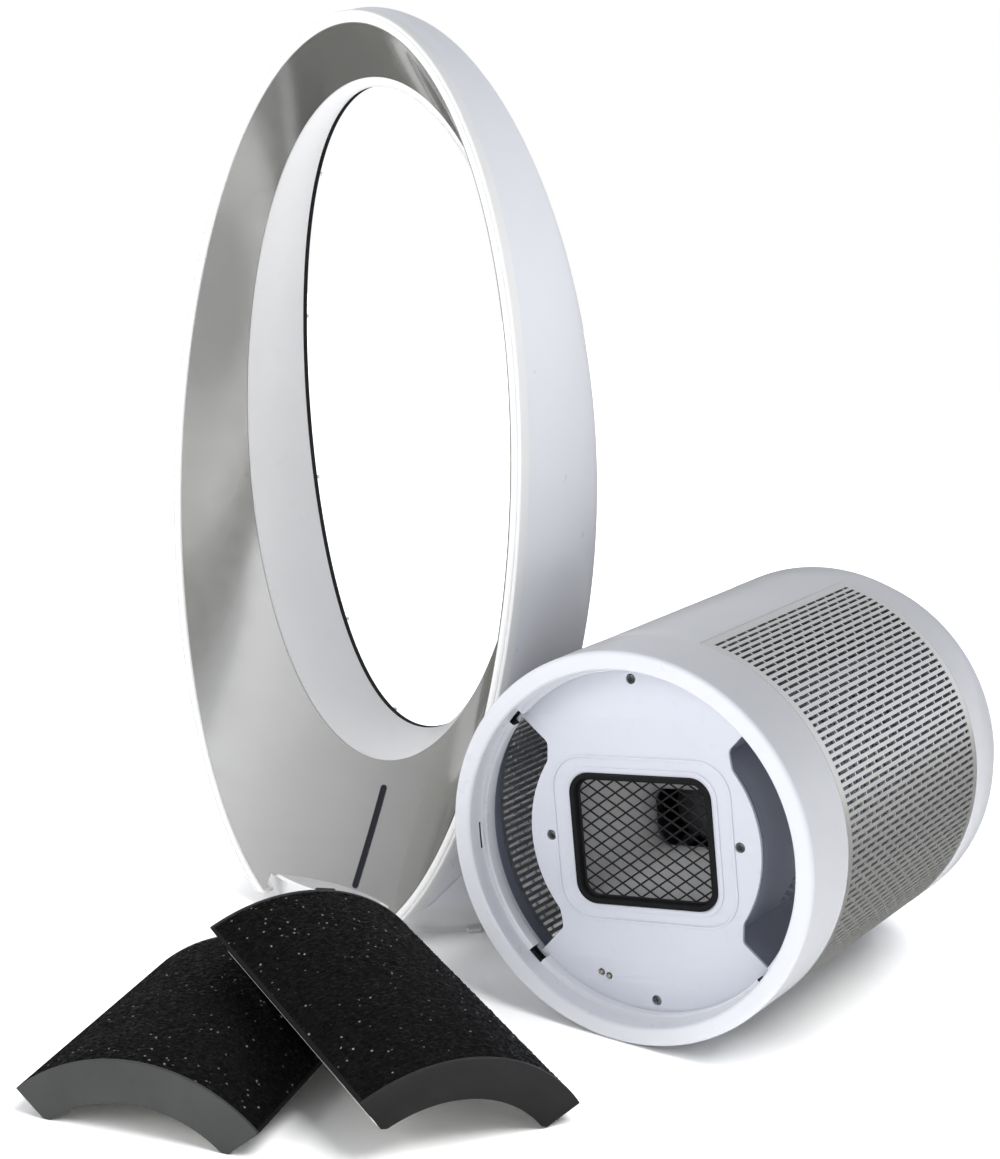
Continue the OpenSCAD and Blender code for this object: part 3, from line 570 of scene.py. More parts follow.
def soften(points, radius, steps=4):
    """Rounds every clear corner of a closed outline."""
    out = []
    n = len(points)
    for i, p in enumerate(points):
        a, b = Vector(points[i - 1]) - Vector(p), Vector(points[(i + 1) % n]) - Vector(p)
        if a.angle(b) > math.radians(160):
            out.append(tuple(p))
            continue
        size = min(radius, a.length * 0.45, b.length * 0.45)
        start, end = Vector(p) + a.normalized() * size, Vector(p) + b.normalized() * size
        for k in range(steps + 1):
            t = k / steps
            q = start * (1 - t) ** 2 + Vector(p) * 2 * t * (1 - t) + end * t ** 2
            out.append(tuple(q))
    return out


def turned(points, degrees):
    c, s = math.cos(math.radians(degrees)), math.sin(math.radians(degrees))
    return [(x * c - y * s, x * s + y * c) for x, y in points]


SCREW_SPOTS = [(90.5, 90), (90.5, 270), (58.5, 0), (58.5, 180)]
PIN_SPOTS = [(84, 246.5), (84, 249.9)]


def at_spot(spot):
    a = math.radians(spot[1])
    return spot[0] * math.cos(a), spot[0] * math.sin(a)


def build_plate():
    outlines = [circle_outline(99.2, 192), rounded_outline(OUTLET_W, OUTLET_H, OUTLET_R)]
    outlines += [turned(mouth_outline(), d) for d in (0, 180)]
    outlines += [circle_outline(2.9, 32, at_spot(s)) for s in SCREW_SPOTS]
    outlines += [circle_outline(1.9, 24, at_spot(s)) for s in PIN_SPOTS]
    plate = slab(outlines, 255.6, PLATE_TOP, 0.35)
    ridge = slab([rounded_outline(111, 94, 20, 16), rounded_outline(108.2, 91.2, 18.6, 16)],
                 257.4, 258.75, 0.3)
    collar = slab([rounded_outline(OUTLET_W + 7, OUTLET_H + 7, OUTLET_R + 3.5, 12),
                   rounded_outline(OUTLET_W + 0.4, OUTLET_H + 0.4, OUTLET_R + 0.2, 12)],
                  257.4, 258.7, 0.3)
    piece("recess_plate", join_meshes("plate", [plate, ridge, collar]), "base", "base",
          "plate_plastic", ["top_plate"])
    seats = []
    for spot in SCREW_SPOTS:
        x, y = at_spot(spot)
        head = cross_screw(2.5, 1.9)
        seats.append(moved(head, shift(x, y, 255.7)))
    piece("plate_screw_heads", join_meshes("screws", seats), "base", "base", "screw_steel",
          ["plate_screws"])
    pins = []
    for spot in PIN_SPOTS:
        x, y = at_spot(spot)
        pin = lathe([(0.01, 0), (1.4, 0), (1.4, 5.2), (0.9, 6.6), (0.35, 7), (0.01, 7)], 24)
        pins.append(moved(pin, shift(x, y, 253)))
    piece("spring_pins", join_meshes("pins", pins), "base", "base", "contact_brass",
          ["contact_pins"])


def cross_screw(r, t):
    """Domed screw head with a cross recess, and its shank."""
    head = lathe([(0.01, t), (r * 0.55, t * 0.97), (r * 0.88, t * 0.74), (r, t * 0.40), (r, 0),
                  (r * 0.6, 0), (r * 0.6, -5.5), (0.01, -6)], 32)
    arms = [moved(box_mesh(-r * 0.62, r * 0.62, -0.38, 0.38, t * 0.35, t + 1), turn("Z", d))
            for d in (20, 110)]
    return cut(cut(head, arms[:1]), arms[1:])


def build_window():
    gasket = slab([rounded_outline(OUTLET_W, OUTLET_H, OUTLET_R, 12),
                   rounded_outline(OUTLET_W - 6, OUTLET_H - 6, OUTLET_R - 3, 12)],
                  253, 260.3, 0.6)
    piece("outlet_gasket", gasket, "base", "base", "black_rubber", ["window_gasket"])
    w, h, r = OUTLET_W - 6, OUTLET_H - 6, OUTLET_R - 3
    frame_mesh = slab([rounded_outline(w, h, r, 10),
                       rounded_outline(w - 2.8, h - 2.8, r - 1.4, 10)], 255, 256.4, 0.25)
    wires = [frame_mesh]
    slope = math.radians(33)
    for side in (-1, 1):
        for i in range(-8, 9):
            length = clip_wire(i * 11.25, side * slope, w / 2 - 0.6, h / 2 - 0.6, r)
            if length is None:
                continue
            (x0, y0), (x1, y1) = length
            wires.append(wire(x0, y0, x1, y1, 255.35 + side * 0.18))
    piece("diamond_mesh", join_meshes("mesh", wires), "base", "base", "black_plastic",
          ["mesh_guard"])


def clip_wire(x, slope, half_w, half_h, corner):
    """Both ends of the line through (x, 0) at a slope inside a rounded rectangle."""
    inside = []
    for k in range(-900, 901):
        t = k * 0.1
        px, py = x + t * math.cos(slope), t * math.sin(slope)
        dx, dy = abs(px) - (half_w - corner), abs(py) - (half_h - corner)
        if dx > 0 and dy > 0:
            ok = math.hypot(dx, dy) < corner
        else:
            ok = dx < corner and dy < corner
        if ok:
            inside.append((px, py))
    return (inside[0], inside[-1]) if len(inside) > 20 else None


def wire(x0, y0, x1, y1, z, width=1.05, height=0.9):
    """Straight strand with an eight-sided section."""
    along = Vector((x1 - x0, y1 - y0, 0)).normalized()
    side = Vector((-along.y, along.x, 0))
    rows = []
    for x, y in ((x0, y0), (x1, y1)):
        rows.append([Vector((x, y, z)) + side * (width / 2 * math.cos(TAU * k / 8 + 0.39))
                     + Vector((0, 0, height / 2 * math.sin(TAU * k / 8 + 0.39)))
                     for k in range(8)])
    return loft(rows)


def build_duct():
    """Funnel from the blower's throat to the outlet window."""
    count = 88
    throat_z, top_z = 206.1, 253.0

    def outline(t, grow):
        # square with rounded corners at the window, round at the throat
        square = rounded_outline(OUTLET_W - 4 + 2 * grow, OUTLET_H - 4 + 2 * grow, OUTLET_R, 21)
        ease = t * t * (3 - 2 * t)
        points = []
        for x, y in square[:count]:
            a = math.atan2(y, x)
            cx, cy = (22 + grow) * math.cos(a), (22 + grow) * math.sin(a)
            points.append((cx + (x - cx) * ease, cy + (y - cy) * ease,
                           throat_z + (top_z - throat_z) * t))
        return points

    ts = [k / 16 for k in range(17)]
    inner = [outline(t, 0) for t in ts]
    outer = [outline(t, 2) for t in reversed(ts)]
    rows = inner + outer + [inner[0]]
    piece("outlet_funnel", loft(rows, closed=False), "base", "base", "inner_plastic",
          ["outlet_duct"], mat="duct_plastic")


def build_grilles():
    count, margin, slot_w = 66, 2.5, 1.9
    half = GRILLE_HALF - 0.1
    step = 2 * (half - margin) / count
    slot_half = math.degrees(slot_w / 2 / BASE_R)
    low, high = GRILLE_LOW + 0.1, GRILLE_HIGH - 0.1
    pitch, bridge, border = 13.0, 1.1, 4.0
    rows_count = int((high - low - 2 * border) // (pitch / 2))
    first = (low + high) / 2 - rows_count * pitch / 4
    angles = [-half]
    for i in range(count):
        middle = -half + margin + (i + 0.5) * step
        angles += [middle - slot_half, middle + slot_half]
    angles.append(half)
    heights = [low]
    for k in range(rows_count + 1):
        heights += [first + k * pitch / 2 - bridge / 2, first + k * pitch / 2 + bridge / 2]
    heights.append(high)

    def kept(a, z, i, j):
        if i % 2 == 0 or j == 0 or j == len(heights) - 2:
            return True
        column = (i - 1) // 2
        if j % 2 == 0:
            return False
        k = (j - 1) // 2
        return k == 0 or k == rows_count or k % 2 == column % 2

    for name, node, middle in (("grille_left", "left_grille", 180),
                               ("grille_right", "right_grille", 0)):
        sheet = sheet_grid(BASE_R - 0.2, [a + middle for a in angles], heights, kept)
        piece(name, thicken(sheet, SHEET_T), "base", "base", "grille_metal", [node])


def build_inner_screens():
    """Perforated walls between the bays and the core: staggered round holes, plain above."""
    low, high, holes_top = 54.0, 248.0, 212.0
    radius = 70.2
    half = 44.5
    pitch_z = 5.0
    columns = 21
    pitch_a = 2 * (half - 1.5) / columns
    hole = 1.75
    to_mm = math.radians(1) * radius
    for name, node, middle in (("screen_left", "left_inner_screen", 180),
                               ("screen_right", "right_inner_screen", 0)):
        verts, faces = [], []

        def put(a, z):
            angle = math.radians(a + middle)
            verts.append((radius * math.cos(angle), radius * math.sin(angle), z))
            return len(verts) - 1

        def plain(a0, a1, z0, z1):
            faces.append((put(a0, z0), put(a1, z0), put(a1, z1), put(a0, z1)))

        rows = int((holes_top - low - 6) // pitch_z)
        start = -half + 1.5
        for row in range(rows):
            z0 = low + 3 + row * pitch_z
            z1 = z0 + pitch_z
            odd = row % 2
            cells = columns - odd
            for c in range(cells):
                a0 = start + (c + odd / 2) * pitch_a
                a1, am, zm = a0 + pitch_a, a0 + pitch_a / 2, (z0 + z1) / 2
                rim = [(a0, z0), (am, z0), (a1, z0), (a1, z1), (am, z1), (a0, z1)]
                outer = [put(a, z) for a, z in rim]
                angles = [math.atan2(z - zm, (a - am) * to_mm) for a, z in rim]
                inner = []
                for k in range(6):
                    t0, t1 = angles[k], angles[(k + 1) % 6]
                    while t1 < t0:
                        t1 += TAU
                    for t in (t0, (t0 + t1) / 2):
                        inner.append(put(am + hole * math.cos(t) / to_mm, zm + hole * math.sin(t)))
                for k in range(6):
                    faces.append((outer[k], outer[(k + 1) % 6], inner[(2 * k + 2) % 12],
                                  inner[2 * k + 1], inner[2 * k]))
            if odd:
                plain(start, start + pitch_a / 2, z0, z1)
                end = start + columns * pitch_a
                plain(end - pitch_a / 2, end, z0, z1)
            plain(-half, start, z0, z1)
            plain(start + columns * pitch_a, half, z0, z1)
        top = low + 3 + rows * pitch_z
        for z0, z1 in ((low, low + 3), (top, high)):
            plain(-half, start, z0, z1)
            for c in range(columns * 2):
                plain(start + c * pitch_a / 2, start + (c + 1) * pitch_a / 2, z0, z1)
            plain(start + columns * pitch_a, half, z0, z1)
        mesh = mesh_of(name, verts, faces)
        piece(name, thicken(outwards(mesh), SHEET_T), "base", "base", "screen_metal", [node],
              mat="inner_plastic")


def build_foot():
    body = lathe([(18, 14), (102.4, 14), (103.5, 13.6), (104, 12.6), (104, 3), (103.6, 2.2),
                  (103, 2), (101.5, 2), (101.5, 11), (10, 11), (10, 37), (18, 37)], 192)
    body = cut(body, [box_mesh(-11, 11, 88, 108, 3, 13)])
    piece("swivel_foot", body, "base", "foot", "plate_plastic", ["foot"])
    profile = [(9.8, 2.4), (10.4, 2)]
    for r in (24, 46, 72):
        profile += [(r - 1.2, 2), (r - 0.6, 2.5), (r + 0.6, 2.5), (r + 1.2, 2)]
    profile += [(100.6, 2), (101.3, 2.5), (101.3, 4.2), (9.8, 4.2)]
    plate = cut(lathe(profile, 160), [box_mesh(-11.2, 11.2, 84, 106, 0, 8)])
    piece("foot_cover", plate, "base", "foot", "screen_metal", ["foot_plate"])
    pads = []
    for a in (45, 135, 225, 315):
        pad = lathe([(0.01, 0.3), (5.4, 0.3), (6.0, 0), (8.2, 0), (8.9, 0.5), (9, 2), (0.01, 2)],
                    40)
        pads.append(moved(pad, turn("Z", a) @ shift(86, 0, 0)))
    piece("rubber_pads", join_meshes("pads", pads), "base", "foot", "black_rubber",
          ["rubber_feet"])
    block = round_edges(box_mesh(-10.9, 10.9, 86, 102.5, 3.1, 10.9), 0.6)
    block = cut(block, [round_edges(box_mesh(-7, 7, 90, 110, 4.6, 9.4), 1.2, 3)])
    blades = [round_edges(box_mesh(s * 3.4 - 0.9, s * 3.4 + 0.9, 89, 99, 5.8, 8.2), 0.25)
              for s in (-1, 1)]
    inlet = join_meshes("inlet", [block, *blades])
    inlet_piece = piece("mains_inlet", inlet, "base", "foot", "black_plastic", ["power_inlet"],
                        extra=["screw_steel"])
    split = len(block.polygons)
    for index, face in enumerate(inlet_piece.data.polygons):
        face.material_index = 1 if index >= split else 0


def build_controls():
    r0, r1 = 106.5, 109.85
    window = lathe([(r0, 188), (r1 - 0.5, 188), (r1, 188.5), (r1, 211.5), (r1 - 0.5, 212),
                    (r0, 212)], 16, (STRIP_MID - 10, STRIP_MID + 10))
    piece("display_glass", window, "base", "base", "black_gloss", ["display_window"])
    button = lathe([(0.01, 98), (6, 98), (6, 109.9), (5.5, 110.5), (4.6, 110.35), (0.01, 110.1)],
                   64)
    piece("round_button", moved(button, shift(0, 0, BUTTON_Z) @ turn("X", 90)), "base", "button",
          "button_metal", ["power_button"])


# ---------------------------------------------------------------- loop

REF_Z, REF_SPAN = 300.0, 270.0
LOOP_A, LOOP_B, LOOP_C, LOOP_FOOT = 122.5, 278.8, 261.8, 20.0
RIM_FOOT = 9.0
COLLAR_R, COLLAR_BACK, SKIRT_TOP = 104.0, 105.0, 112.0
BAR_W, BAR_X = 3.7, 11.7


class Edge(tuple):
    """Upright oval of the loop: half width, half height, middle, and three depth terms."""

    def __add__(self, other):
        return Edge(a + b for a, b in zip(self, other))

    def __mul__(self, factor):
        return Edge(a * factor for a in self)


def mix(p, q, t):
    return p * (1 - t) + q * t


def through(p, m, q, t):
    knee = m * 2 + (p + q) * -0.5
    return mix(mix(p, knee, t), mix(knee, q, t), t)


def grow(p, out, back):
    return p + (out, out, 0, back, 0, 0)


def deep(p, q, factor, back):
    return Edge((p[0], p[1], p[2], q[3] * factor + back, q[4] * factor, q[5] * factor))


def on_edge(e, t):
    z = e[2] + e[1] * math.sin(t)
    u = (z - REF_Z) / REF_SPAN
    return (e[0] * math.cos(t), e[3] + e[4] * (z - REF_Z) + e[5] * u * u, z)


RIM_OUTER = Edge((LOOP_A, LOOP_B, LOOP_C, 0, 0, 0))
RIM_INNER = Edge((LOOP_A - 7.5, LOOP_B - 7.3, LOOP_C, 1, 0, 0))
PANEL_INNER = Edge((100, 205.6, 297.7, 44, -0.064, -10.4))
SLOT_EDGE = Edge((85, 198.6, 300.2, 83.6, -0.169, -35.8))
REAR_EDGE = Edge((0, 0, 0, 102, -0.13, -30))
PANEL_MID = grow(mix(RIM_INNER, PANEL_INNER, 0.5), 0, 2)
RING_MID = grow(mix(PANEL_INNER, SLOT_EDGE, 0.5), -2.5, 0)
FLAT_SLOT = Edge((SLOT_EDGE[0], SLOT_EDGE[1], SLOT_EDGE[2], 0, 0, 0))
SKIN_SIDE = grow(RIM_OUTER, 1.5, 0)
SKIN_BACK = mix(RIM_OUTER, FLAT_SLOT, 0.30)
SKIN_END = mix(RIM_OUTER, FLAT_SLOT, 0.50)
LIP = grow(SLOT_EDGE, 3.4, 9)


def ring(edges, steps=256):
    """Closed ring whose section runs through the given edges in order."""
    m = len(edges)
    verts = [on_edge(e, TAU * i / steps) for i in range(steps) for e in edges]
    faces = [(i * m + j, i * m + (j + 1) % m, (i + 1) % steps * m + (j + 1) % m,
              (i + 1) % steps * m + j) for i in range(steps) for j in range(m)]
    return mesh_of("ring", verts, faces)


def smooth_path(edges, steps=5):
    """Catmull-Rom curve through a row of edges."""
    path = []
    for i in range(len(edges) - 1):
        a, b = edges[max(i - 1, 0)], edges[i]
        c, d = edges[i + 1], edges[min(i + 2, len(edges) - 1)]
        for k in range(steps):
            t = k / steps
            path.append((b * 2 + (c + a * -1) * t + (a * 2 + b * -5 + c * 4 + d * -1) * (t * t)
                         + (a * -1 + b * 3 + c * -3 + d) * (t ** 3)) * 0.5)
    return path + [edges[-1]]


def build_loop():
    rim_profile = [(0, 9), (0, 2.6), (-0.35, 1.2), (-1.1, 0.6), (-1.75, 0.55), (-2.0, 1.3),
                   (-2.5, 1.3), (-2.75, 0.45), (-3.4, 0.08), (-4.6, 0), (-5.8, 0.2),
                   (-6.7, 0.9), (-7.05, 2), (-7.05, 5), (-5, 9)]
    rim = ring([grow(RIM_OUTER, out, back) for out, back in rim_profile], 320)
    piece("front_rim", slice_below(rim, RIM_FOOT), "loop", "loop", "white_gloss",
          ["loop_rim"], mat="rim_white")

    count = 24
    front = [through(RIM_INNER, PANEL_MID, PANEL_INNER, k / count) for k in range(count + 1)]
    back = [grow(e, 1.4, 0.5) for e in reversed(front)]
    panel = ring(front + back, 320)
    panel = cut(slice_below(panel, RIM_FOOT), [box_mesh(-44, 44, -10, 110, 0, LOOP_FOOT)])
    piece("silver_cone", panel, "loop", "loop", "silver_panel", ["loop_panel"])

    count = 14
    front = [grow(through(PANEL_INNER, RING_MID, SLOT_EDGE, k / count), 0, 0.6)
             for k in range(count + 1)]
    bead = [grow(SLOT_EDGE, 0.05, 1.0), grow(SLOT_EDGE, 0.5, 1.35), grow(SLOT_EDGE, 2, 1.3)]
    back = [grow(e, 2.2, 0.7) for e in reversed(front[:-1])]
    piece("throat_ring", ring(front + bead + back, 320), "loop", "loop", "white_satin",
          ["loop_inner_ring"])

    seal = [grow(SLOT_EDGE, out, deep_by) for out, deep_by in
            ((0.15, 1.4), (-0.1, 1.9), (-0.1, 4.9), (0.3, 5.4), (3, 5.4), (3, 1.4))]
    piece("slot_rubber", ring(seal, 320), "loop", "loop", "black_rubber", ["slot_seal"])

    outside = smooth_path([
        grow(RIM_OUTER, 0, 9.1), deep(SKIN_SIDE, REAR_EDGE, 0.4, 0),
        deep(RIM_OUTER, REAR_EDGE, 0.68, 0), deep(grow(RIM_OUTER, -4, 0), REAR_EDGE, 0.9, 0),
        deep(SKIN_BACK, REAR_EDGE, 1, -2), deep(SKIN_END, REAR_EDGE, 1, -3), LIP])
    inside = smooth_path([
        grow(LIP, 2, 0), deep(grow(SKIN_END, 0.5, 0), REAR_EDGE, 1, -5.4),
        deep(grow(SKIN_BACK, -0.6, 0), REAR_EDGE, 1, -4.8),
        deep(grow(RIM_OUTER, -6.4, 0), REAR_EDGE, 0.88, 0),
        deep(grow(RIM_OUTER, -2.6, 0), REAR_EDGE, 0.67, 0),
        deep(grow(SKIN_SIDE, -2.6, 0), REAR_EDGE, 0.4, 0), grow(RIM_OUTER, -2.6, 9.1)])
    shell = slice_below(ring(outside + [grow(LIP, 0.6, 0.5), grow(LIP, 1.4, 0.5)] + inside, 256),
                        LOOP_FOOT)
    shell = cut(shell, [box_mesh(-55, 55, 25, 135, 0, 84)])
    piece("outer_skin", shell, "loop", "loop", "white_gloss", ["loop_shell"], mat="skin_white")
    build_skirt()
    build_light_bar()


def skirt_row(z, inset, count=128):
    u = (z - LOOP_FOOT) / (SKIRT_TOP - LOOP_FOOT)
    s = u * u * (3 - 2 * u)
    w = COLLAR_R * (1 - s) + 82 * s - inset
    h = COLLAR_R * (1 - s) + 40 * s - inset
    middle = COLLAR_BACK * (1 - s) + 58 * s
    return [(w * math.cos(TAU * k / count), middle + h * math.sin(TAU * k / count), z)
            for k in range(count)]


def build_skirt():
    """Blend from the loop's back down to its round collar, hollowed and cut to the skin."""
    levels = 24
    span = SKIRT_TOP - LOOP_FOOT
    outer = [skirt_row(LOOP_FOOT + span * k / levels, 0) for k in range(levels + 1)]
    inner = [skirt_row(LOOP_FOOT - 1 + (span - 1.5) * k / levels, 2.5) for k in range(levels + 1)]
    hull = cut(loft(outer), [loft(inner)])
    gap = 0.4
    edges = [grow(RIM_OUTER, gap, -60), grow(RIM_OUTER, gap, 9),
             deep(grow(SKIN_SIDE, gap, 0), REAR_EDGE, 0.4, 0),
             deep(grow(RIM_OUTER, gap, 0), REAR_EDGE, 0.68, 0),
             deep(grow(RIM_OUTER, -4 + gap, 0), REAR_EDGE, 0.9, 0),
             deep(grow(SKIN_BACK, gap, 0), REAR_EDGE, 1, -2 + gap),
             deep(grow(SKIN_END, gap, 0), REAR_EDGE, 1, -3 + gap),
             grow(SLOT_EDGE, 3.4, 9 + gap)]
    steps = 200
    rows = [[on_edge(e, TAU * i / steps) for i in range(steps)] for e in edges]
    plug = loft(rows)
    with editing(plug) as bm:
        bmesh.ops.triangulate(bm, faces=[f for f in bm.faces if len(f.verts) > 4])
    hull = cut(hull, [plug])
    piece("rear_skirt", hull, "loop", "loop", "white_gloss", ["loop_skirt"], mat="skin_white")


def build_light_bar():
    """Slim dark window in the lower panel, with rounded ends and softened edges."""
    steps = 60
    path = []
    for i in range(steps + 1):
        e = through(RIM_INNER, PANEL_MID, PANEL_INNER, 0.285 + 0.575 * i / steps)
        path.append(on_edge(e, -math.acos(BAR_X / e[0])))
    length = [0.0]
    for a, b in zip(path, path[1:]):
        length.append(length[-1] + math.dist(a, b))
    section = [(-1, 0.2), (-1, 0.85), (-0.94, 1.02), (-0.82, 1.1), (0.82, 1.1), (0.94, 1.02),
               (1, 0.85), (1, 0.2)]
    radius = BAR_W / 2
    rows = []
    for p, done in zip(path, length):
        to_end = min(done, length[-1] - done)
        if to_end < radius:
            width = radius * math.sqrt(max(0.02, 1 - (1 - to_end / radius) ** 2))
        else:
            width = radius
        rows.append([(BAR_X + x * width, p[1] - 0.91 * h, p[2] + 0.42 * h) for x, h in section])
    piece("light_window", loft(rows), "loop", "loop", "black_gloss", ["light_bar"])


# ---------------------------------------------------------------- filters


def arch_mesh(r0, r1, half, y0, y1, steps_a, steps_y, rough=0.0, seed=0.0):
    """Part of a tube along Y, cut flat underneath, its outside roughened on request."""
    section = []
    limit = math.radians(half)
    for k in range(steps_a + 1):
        a = -limit + 2 * limit * k / steps_a
        section.append((r1 * math.sin(a), r1 * math.cos(a)))
    outer = [p for p in section if p[1] >= FLAT_Z - 1e-6]
    inner = []
    for k in range(steps_a + 1):
        a = limit - 2 * limit * k / steps_a
        inner.append((r0 * math.sin(a), max(r0 * math.cos(a), FLAT_Z)))
    outline = outer + inner
    trimmed = [outline[0]]
    for p in outline[1:]:
        if math.dist(p, trimmed[-1]) > 0.05:
            trimmed.append(p)
    rows = []
    for j in range(steps_y + 1):
        y = y0 + (y1 - y0) * j / steps_y
        row = []
        for x, z in trimmed:
            if rough:
                r = math.hypot(x, z)
                if r > r1 - 1.0:
                    n = noise.noise(Vector((x, y, z + seed)) * 0.55)
                    n += 0.6 * noise.noise(Vector((x, y, z + seed)) * 1.3)
                    push = rough * (n - 0.35)
                    x, z = x * (r + push) / r, z * (r + push) / r
            row.append((x, y, max(z, FLAT_Z) if rough else z))
        rows.append(row)
    return loft(rows)


def rail_outline(side):
    """Section of a side rail: the strip between the block's end and the filter's radial end."""
    a1, a0 = math.radians(FILTER_HALF), math.radians(FILTER_HALF - 1.2)
    points = []
    for r, a in ((FILTER_IN, a0), (FILTER_OUT, a0), (FILTER_OUT, a1), (FILTER_IN, a1)):
        points.append((side * r * math.sin(a), max(r * math.cos(a), FLAT_Z)))
    return points


def build_filter(side, media_seed):
    body = side + "_filter"
    cap_slot = "left_cap_plastic" if side == "left" else "filter_plastic"
    cap, length = 2.5, FILTER_L
    bed = arch_mesh(84, FILTER_OUT - 0.15, FILTER_HALF - 0.6, cap, length - cap, 110, 190, 0.75,
                    media_seed)
    piece(side + "_carbon_bed", bed, side, body, "carbon_media", [side + "_carbon_block"])
    pleats = pleated(FILTER_IN + 0.4, 84, FILTER_HALF - 1.2, cap, length - cap)
    piece(side + "_paper_pleats", pleats, side, body, "particle_media",
          [side + "_particle_block"])
    caps = []
    for y0 in (0, length - cap):
        plate = arch_mesh(FILTER_IN, FILTER_OUT, FILTER_HALF, y0, y0 + cap, 64, 1)
        caps.append(round_edges(plate, 0.45, 2, 60))
    piece(side + "_caps", join_meshes("caps", caps), side, body, cap_slot,
          [side + "_end_caps"])
    rails = []
    for s in (-1, 1):
        rails.append(bar(rail_outline(s), cap, length - cap))
    piece(side + "_rails", join_meshes("rails", rails), side, body, "filter_plastic",
          [side + "_side_rails"], mat="black_rubber")
    tab = round_edges(box_mesh(-6, 6, length, length + 2, FILTER_OUT - 6, FILTER_OUT), 0.5)
    tab = cut(tab, [box_mesh(-2, 2, length - 1, length + 3, FILTER_OUT - 3, FILTER_OUT - 1.4)])
    piece(side + "_tab", tab, side, body, "filter_plastic", [side + "_pull_tab"])


def pleated(r0, r1, half, y0, y1):
    """Paper pleats running along the filter, closed at the back against the carbon bed."""
    count = 44
    limit = math.radians(half)
    inner, outer = [], []
    for k in range(2 * count + 1):
        a = -limit + 2 * limit * k / (2 * count)
        r = r0 + (0.0 if k % 2 else 2.6)
        inner.append((r * math.sin(a), max(r * math.cos(a), FLAT_Z)))
        outer.append((r1 * math.sin(a), max(r1 * math.cos(a), FLAT_Z)))
    return bar(outer + inner[::-1], y0, y1)


# ---------------------------------------------------------------- put it together

build_housing()
build_top_ring()
build_plate()
build_window()
build_duct()
build_grilles()
build_inner_screens()
build_foot()
build_controls()
build_loop()
build_filter("left", 0.0)
build_filter("right", 47.0)

KEPT_FINISH = {
    "white_satin": ["slot_spacers", "loop_collar"],
    "inner_plastic": ["bay_frame", "chassis_floor", "blower_housing", "throat_plate",
                      "motor_mount"],
    "black_rubber": ["blower_bushes", "collar_gasket"],
    "black_plastic": ["button_switch"],
    "screw_steel": ["chassis_screws", "loop_screws", "gear_clip", "motor_shaft",
                    "latch_springs"],
    "contact_brass": ["contact_pads"],
    "motor_steel": ["motor", "swing_motor"],
    "fan_plastic": ["impeller"],
    "gear_plastic": ["swing_pinion", "foot_gear", "swivel_bearing"],
    "board": ["control_board", "power_board", "light_board"],
}
for finish, names in KEPT_FINISH.items():
    for node in names:
        obj = NODES[node]
        obj.data.materials.clear()
        obj.data.materials.append(MATS[finish])
        bevel = obj.modifiers.new("soft_edges", "BEVEL")
        bevel.width = 0.00025
        bevel.segments = 2
        bevel.limit_method = "ANGLE"
        bevel.angle_limit = math.radians(50)

# ---------------------------------------------------------------- floor, light, camera

FLOOR_HALF = 2.3
floor_mesh = bpy.data.meshes.new("floor")
floor_mesh.from_pydata([(x * FLOOR_HALF, y * FLOOR_HALF, 0)
                        for x, y in ((-1, -1), (1, -1), (1, 1), (-1, 1))], [], [(0, 1, 2, 3)])
floor_mesh.materials.append(material("floor_white", (0.93, 0.93, 0.93), 0.28, vary=0.004,
                                     broad=2.0, rough_vary=0.03, bump=0.01, spec=0.35))
floor = link("floor", floor_mesh)
floor.visible_glossy = False

# The world is plain white behind the object, a soft sky in the light it gives, and a brighter
# sky on one side in what glossy surfaces mirror.
world = bpy.data.worlds.new("studio")
bpy.context.scene.world = world
world.use_nodes = True
sky_net = Net(world.node_tree)
direction = sky_net.add("TexCoord", {})["Generated"]
split = sky_net.add("SeparateXYZ", {"Vector": direction})
height = sky_net.add("MapRange", {"Value": split["Z"], "From Min": -1.0})["Result"]
COOL, WARM, PLAIN = (0.97, 0.985, 1.03), (1.0, 0.985, 0.95), (1, 1, 1)


def sky(stops):
    """Brightness by height: -1 straight down, 0 at the horizon, 1 straight up."""
    return sky_net.ramp(height, [((level + 1) / 2, tuple(value * t for t in tint) + (1,))
                                 for level, value, tint in stops])


lit = sky([(-1, 0.5, PLAIN), (0, 0.66, COOL), (1, 0.50, COOL)])
mirrored = sky([(-1, 0.10, WARM), (-0.25, 0.20, WARM), (-0.02, 0.42, WARM),
                (0.06, 0.90, COOL), (0.45, 0.75, COOL), (1, 0.50, COOL)])
from_side = sky_net.add("MapRange", {"Value": split["X"], "From Min": -1.0, "To Min": 0.50,
                                     "To Max": 1.45})["Result"]
mirrored = sky_net.add("VectorMath", {0: mirrored, "Scale": from_side},
                       operation="SCALE")["Vector"]
path = sky_net.add("LightPath", {})
shown = sky_net.mix(path["Is Glossy Ray"], lit, mirrored)
shown = sky_net.mix(path["Is Camera Ray"], shown, WHITE)
sky_net.feed(sky_net.nodes["Background"], {"Color": shown, "Strength": 1.0})


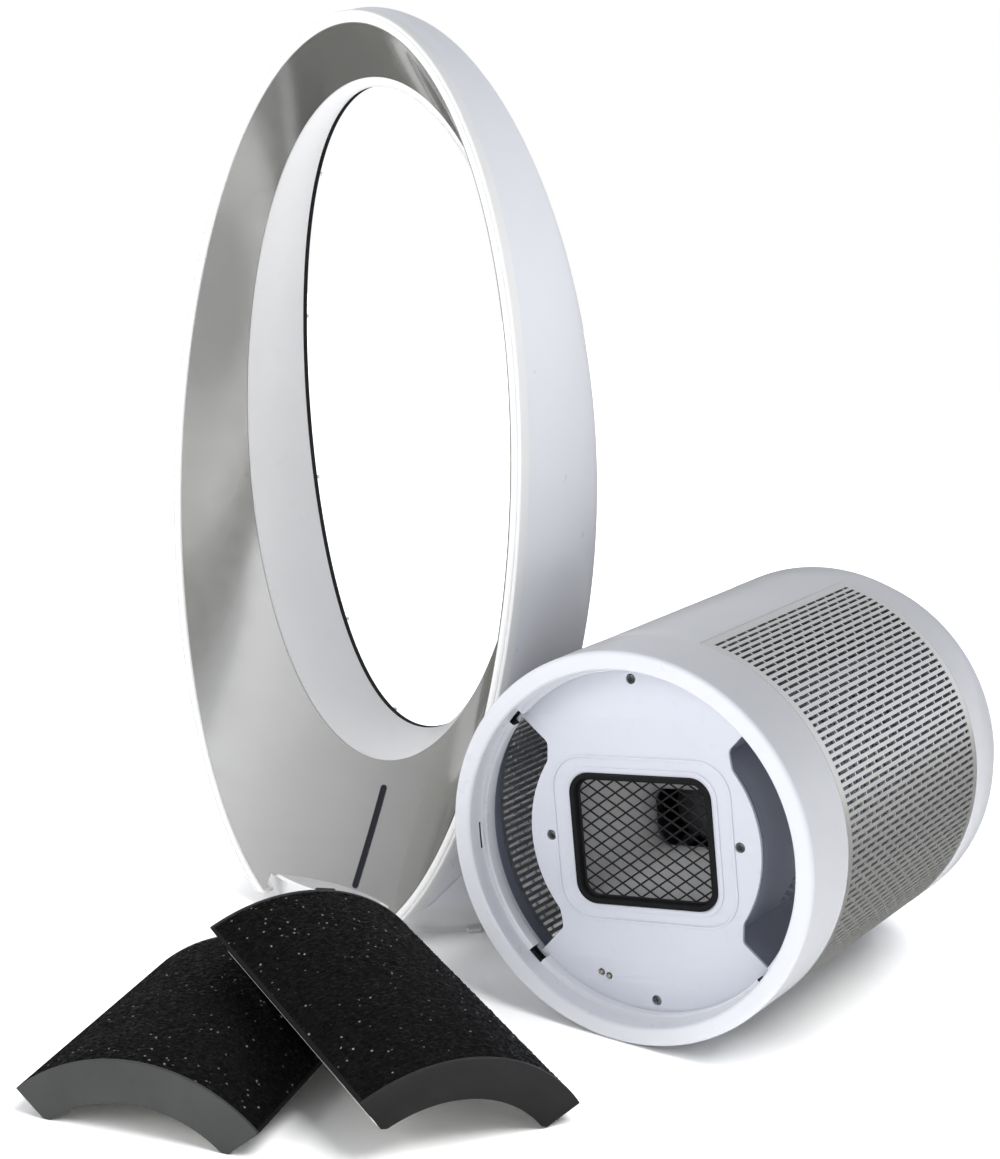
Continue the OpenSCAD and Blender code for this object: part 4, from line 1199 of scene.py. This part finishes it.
def softbox(name, at, target, size, watts):
    """Soft lamp that doesn't show in reflections."""
    lamp = bpy.data.lights.new(name, "AREA")
    lamp.shape = "RECTANGLE"
    lamp.size, lamp.size_y = size
    lamp.energy = watts
    obj = link(name, lamp)
    obj.location = at
    obj.rotation_mode = "QUATERNION"
    obj.rotation_quaternion = (Vector(target) - Vector(at)).to_track_quat("-Z", "Y")
    obj.visible_glossy = False
    return obj


floor_only = bpy.data.collections.new("floor_only")
floor_only.objects.link(floor)
overhead = softbox("overhead", (1.7, -0.2, 3.6), (0.0, 0.2, 0), (2.6, 2.6), 210)
softbox("front_left", (-1.2, -2.3, 1.3), (0, 0, 0.2), (1.6, 1.6), 34)
far_floor = softbox("far_floor", (-1.6, 2.8, 2.4), (-1.2, 2.4, 0), (3.0, 2.0), 130)
for lamp in (overhead, far_floor):
    lamp.light_linking.receiver_collection = floor_only

# Camera solved on the outlines in the photograph, placed from the base unit's front rim
YAW, PITCH, ROLL = (math.radians(a) for a in (30.675, 13.876, 3.150))
CAMERA_FROM_BASE = (609.0, -1175.3, 583.1)
camera_data = bpy.data.cameras.new("camera")
camera_data.sensor_fit = "HORIZONTAL"
camera_data.sensor_width = 36.0
camera_data.lens = 93.31
camera_data.clip_start, camera_data.clip_end = 0.05, 100.0
right = Vector((math.cos(YAW), math.sin(YAW), 0))
ahead = Vector((-math.sin(YAW) * math.cos(PITCH), math.cos(YAW) * math.cos(PITCH),
                -math.sin(PITCH)))
down = Vector((math.sin(YAW) * math.sin(PITCH), -math.cos(YAW) * math.sin(PITCH),
               -math.cos(PITCH)))
camera_x = right * math.cos(ROLL) - down * math.sin(ROLL)
camera_y = -(right * math.sin(ROLL) + down * math.cos(ROLL))
pose = Matrix((camera_x, camera_y, -ahead)).transposed().to_4x4()
pose.translation = Vector(((BX + CAMERA_FROM_BASE[0]) * MM, (BY + CAMERA_FROM_BASE[1]) * MM,
                           CAMERA_FROM_BASE[2] * MM))
camera = link("camera", camera_data)
camera.matrix_world = pose
bpy.context.scene.camera = camera

view = bpy.context.scene.view_settings
view.view_transform = "Standard"
view.look = "None"
view.exposure = 0.0

bpy.context.view_layer.update()
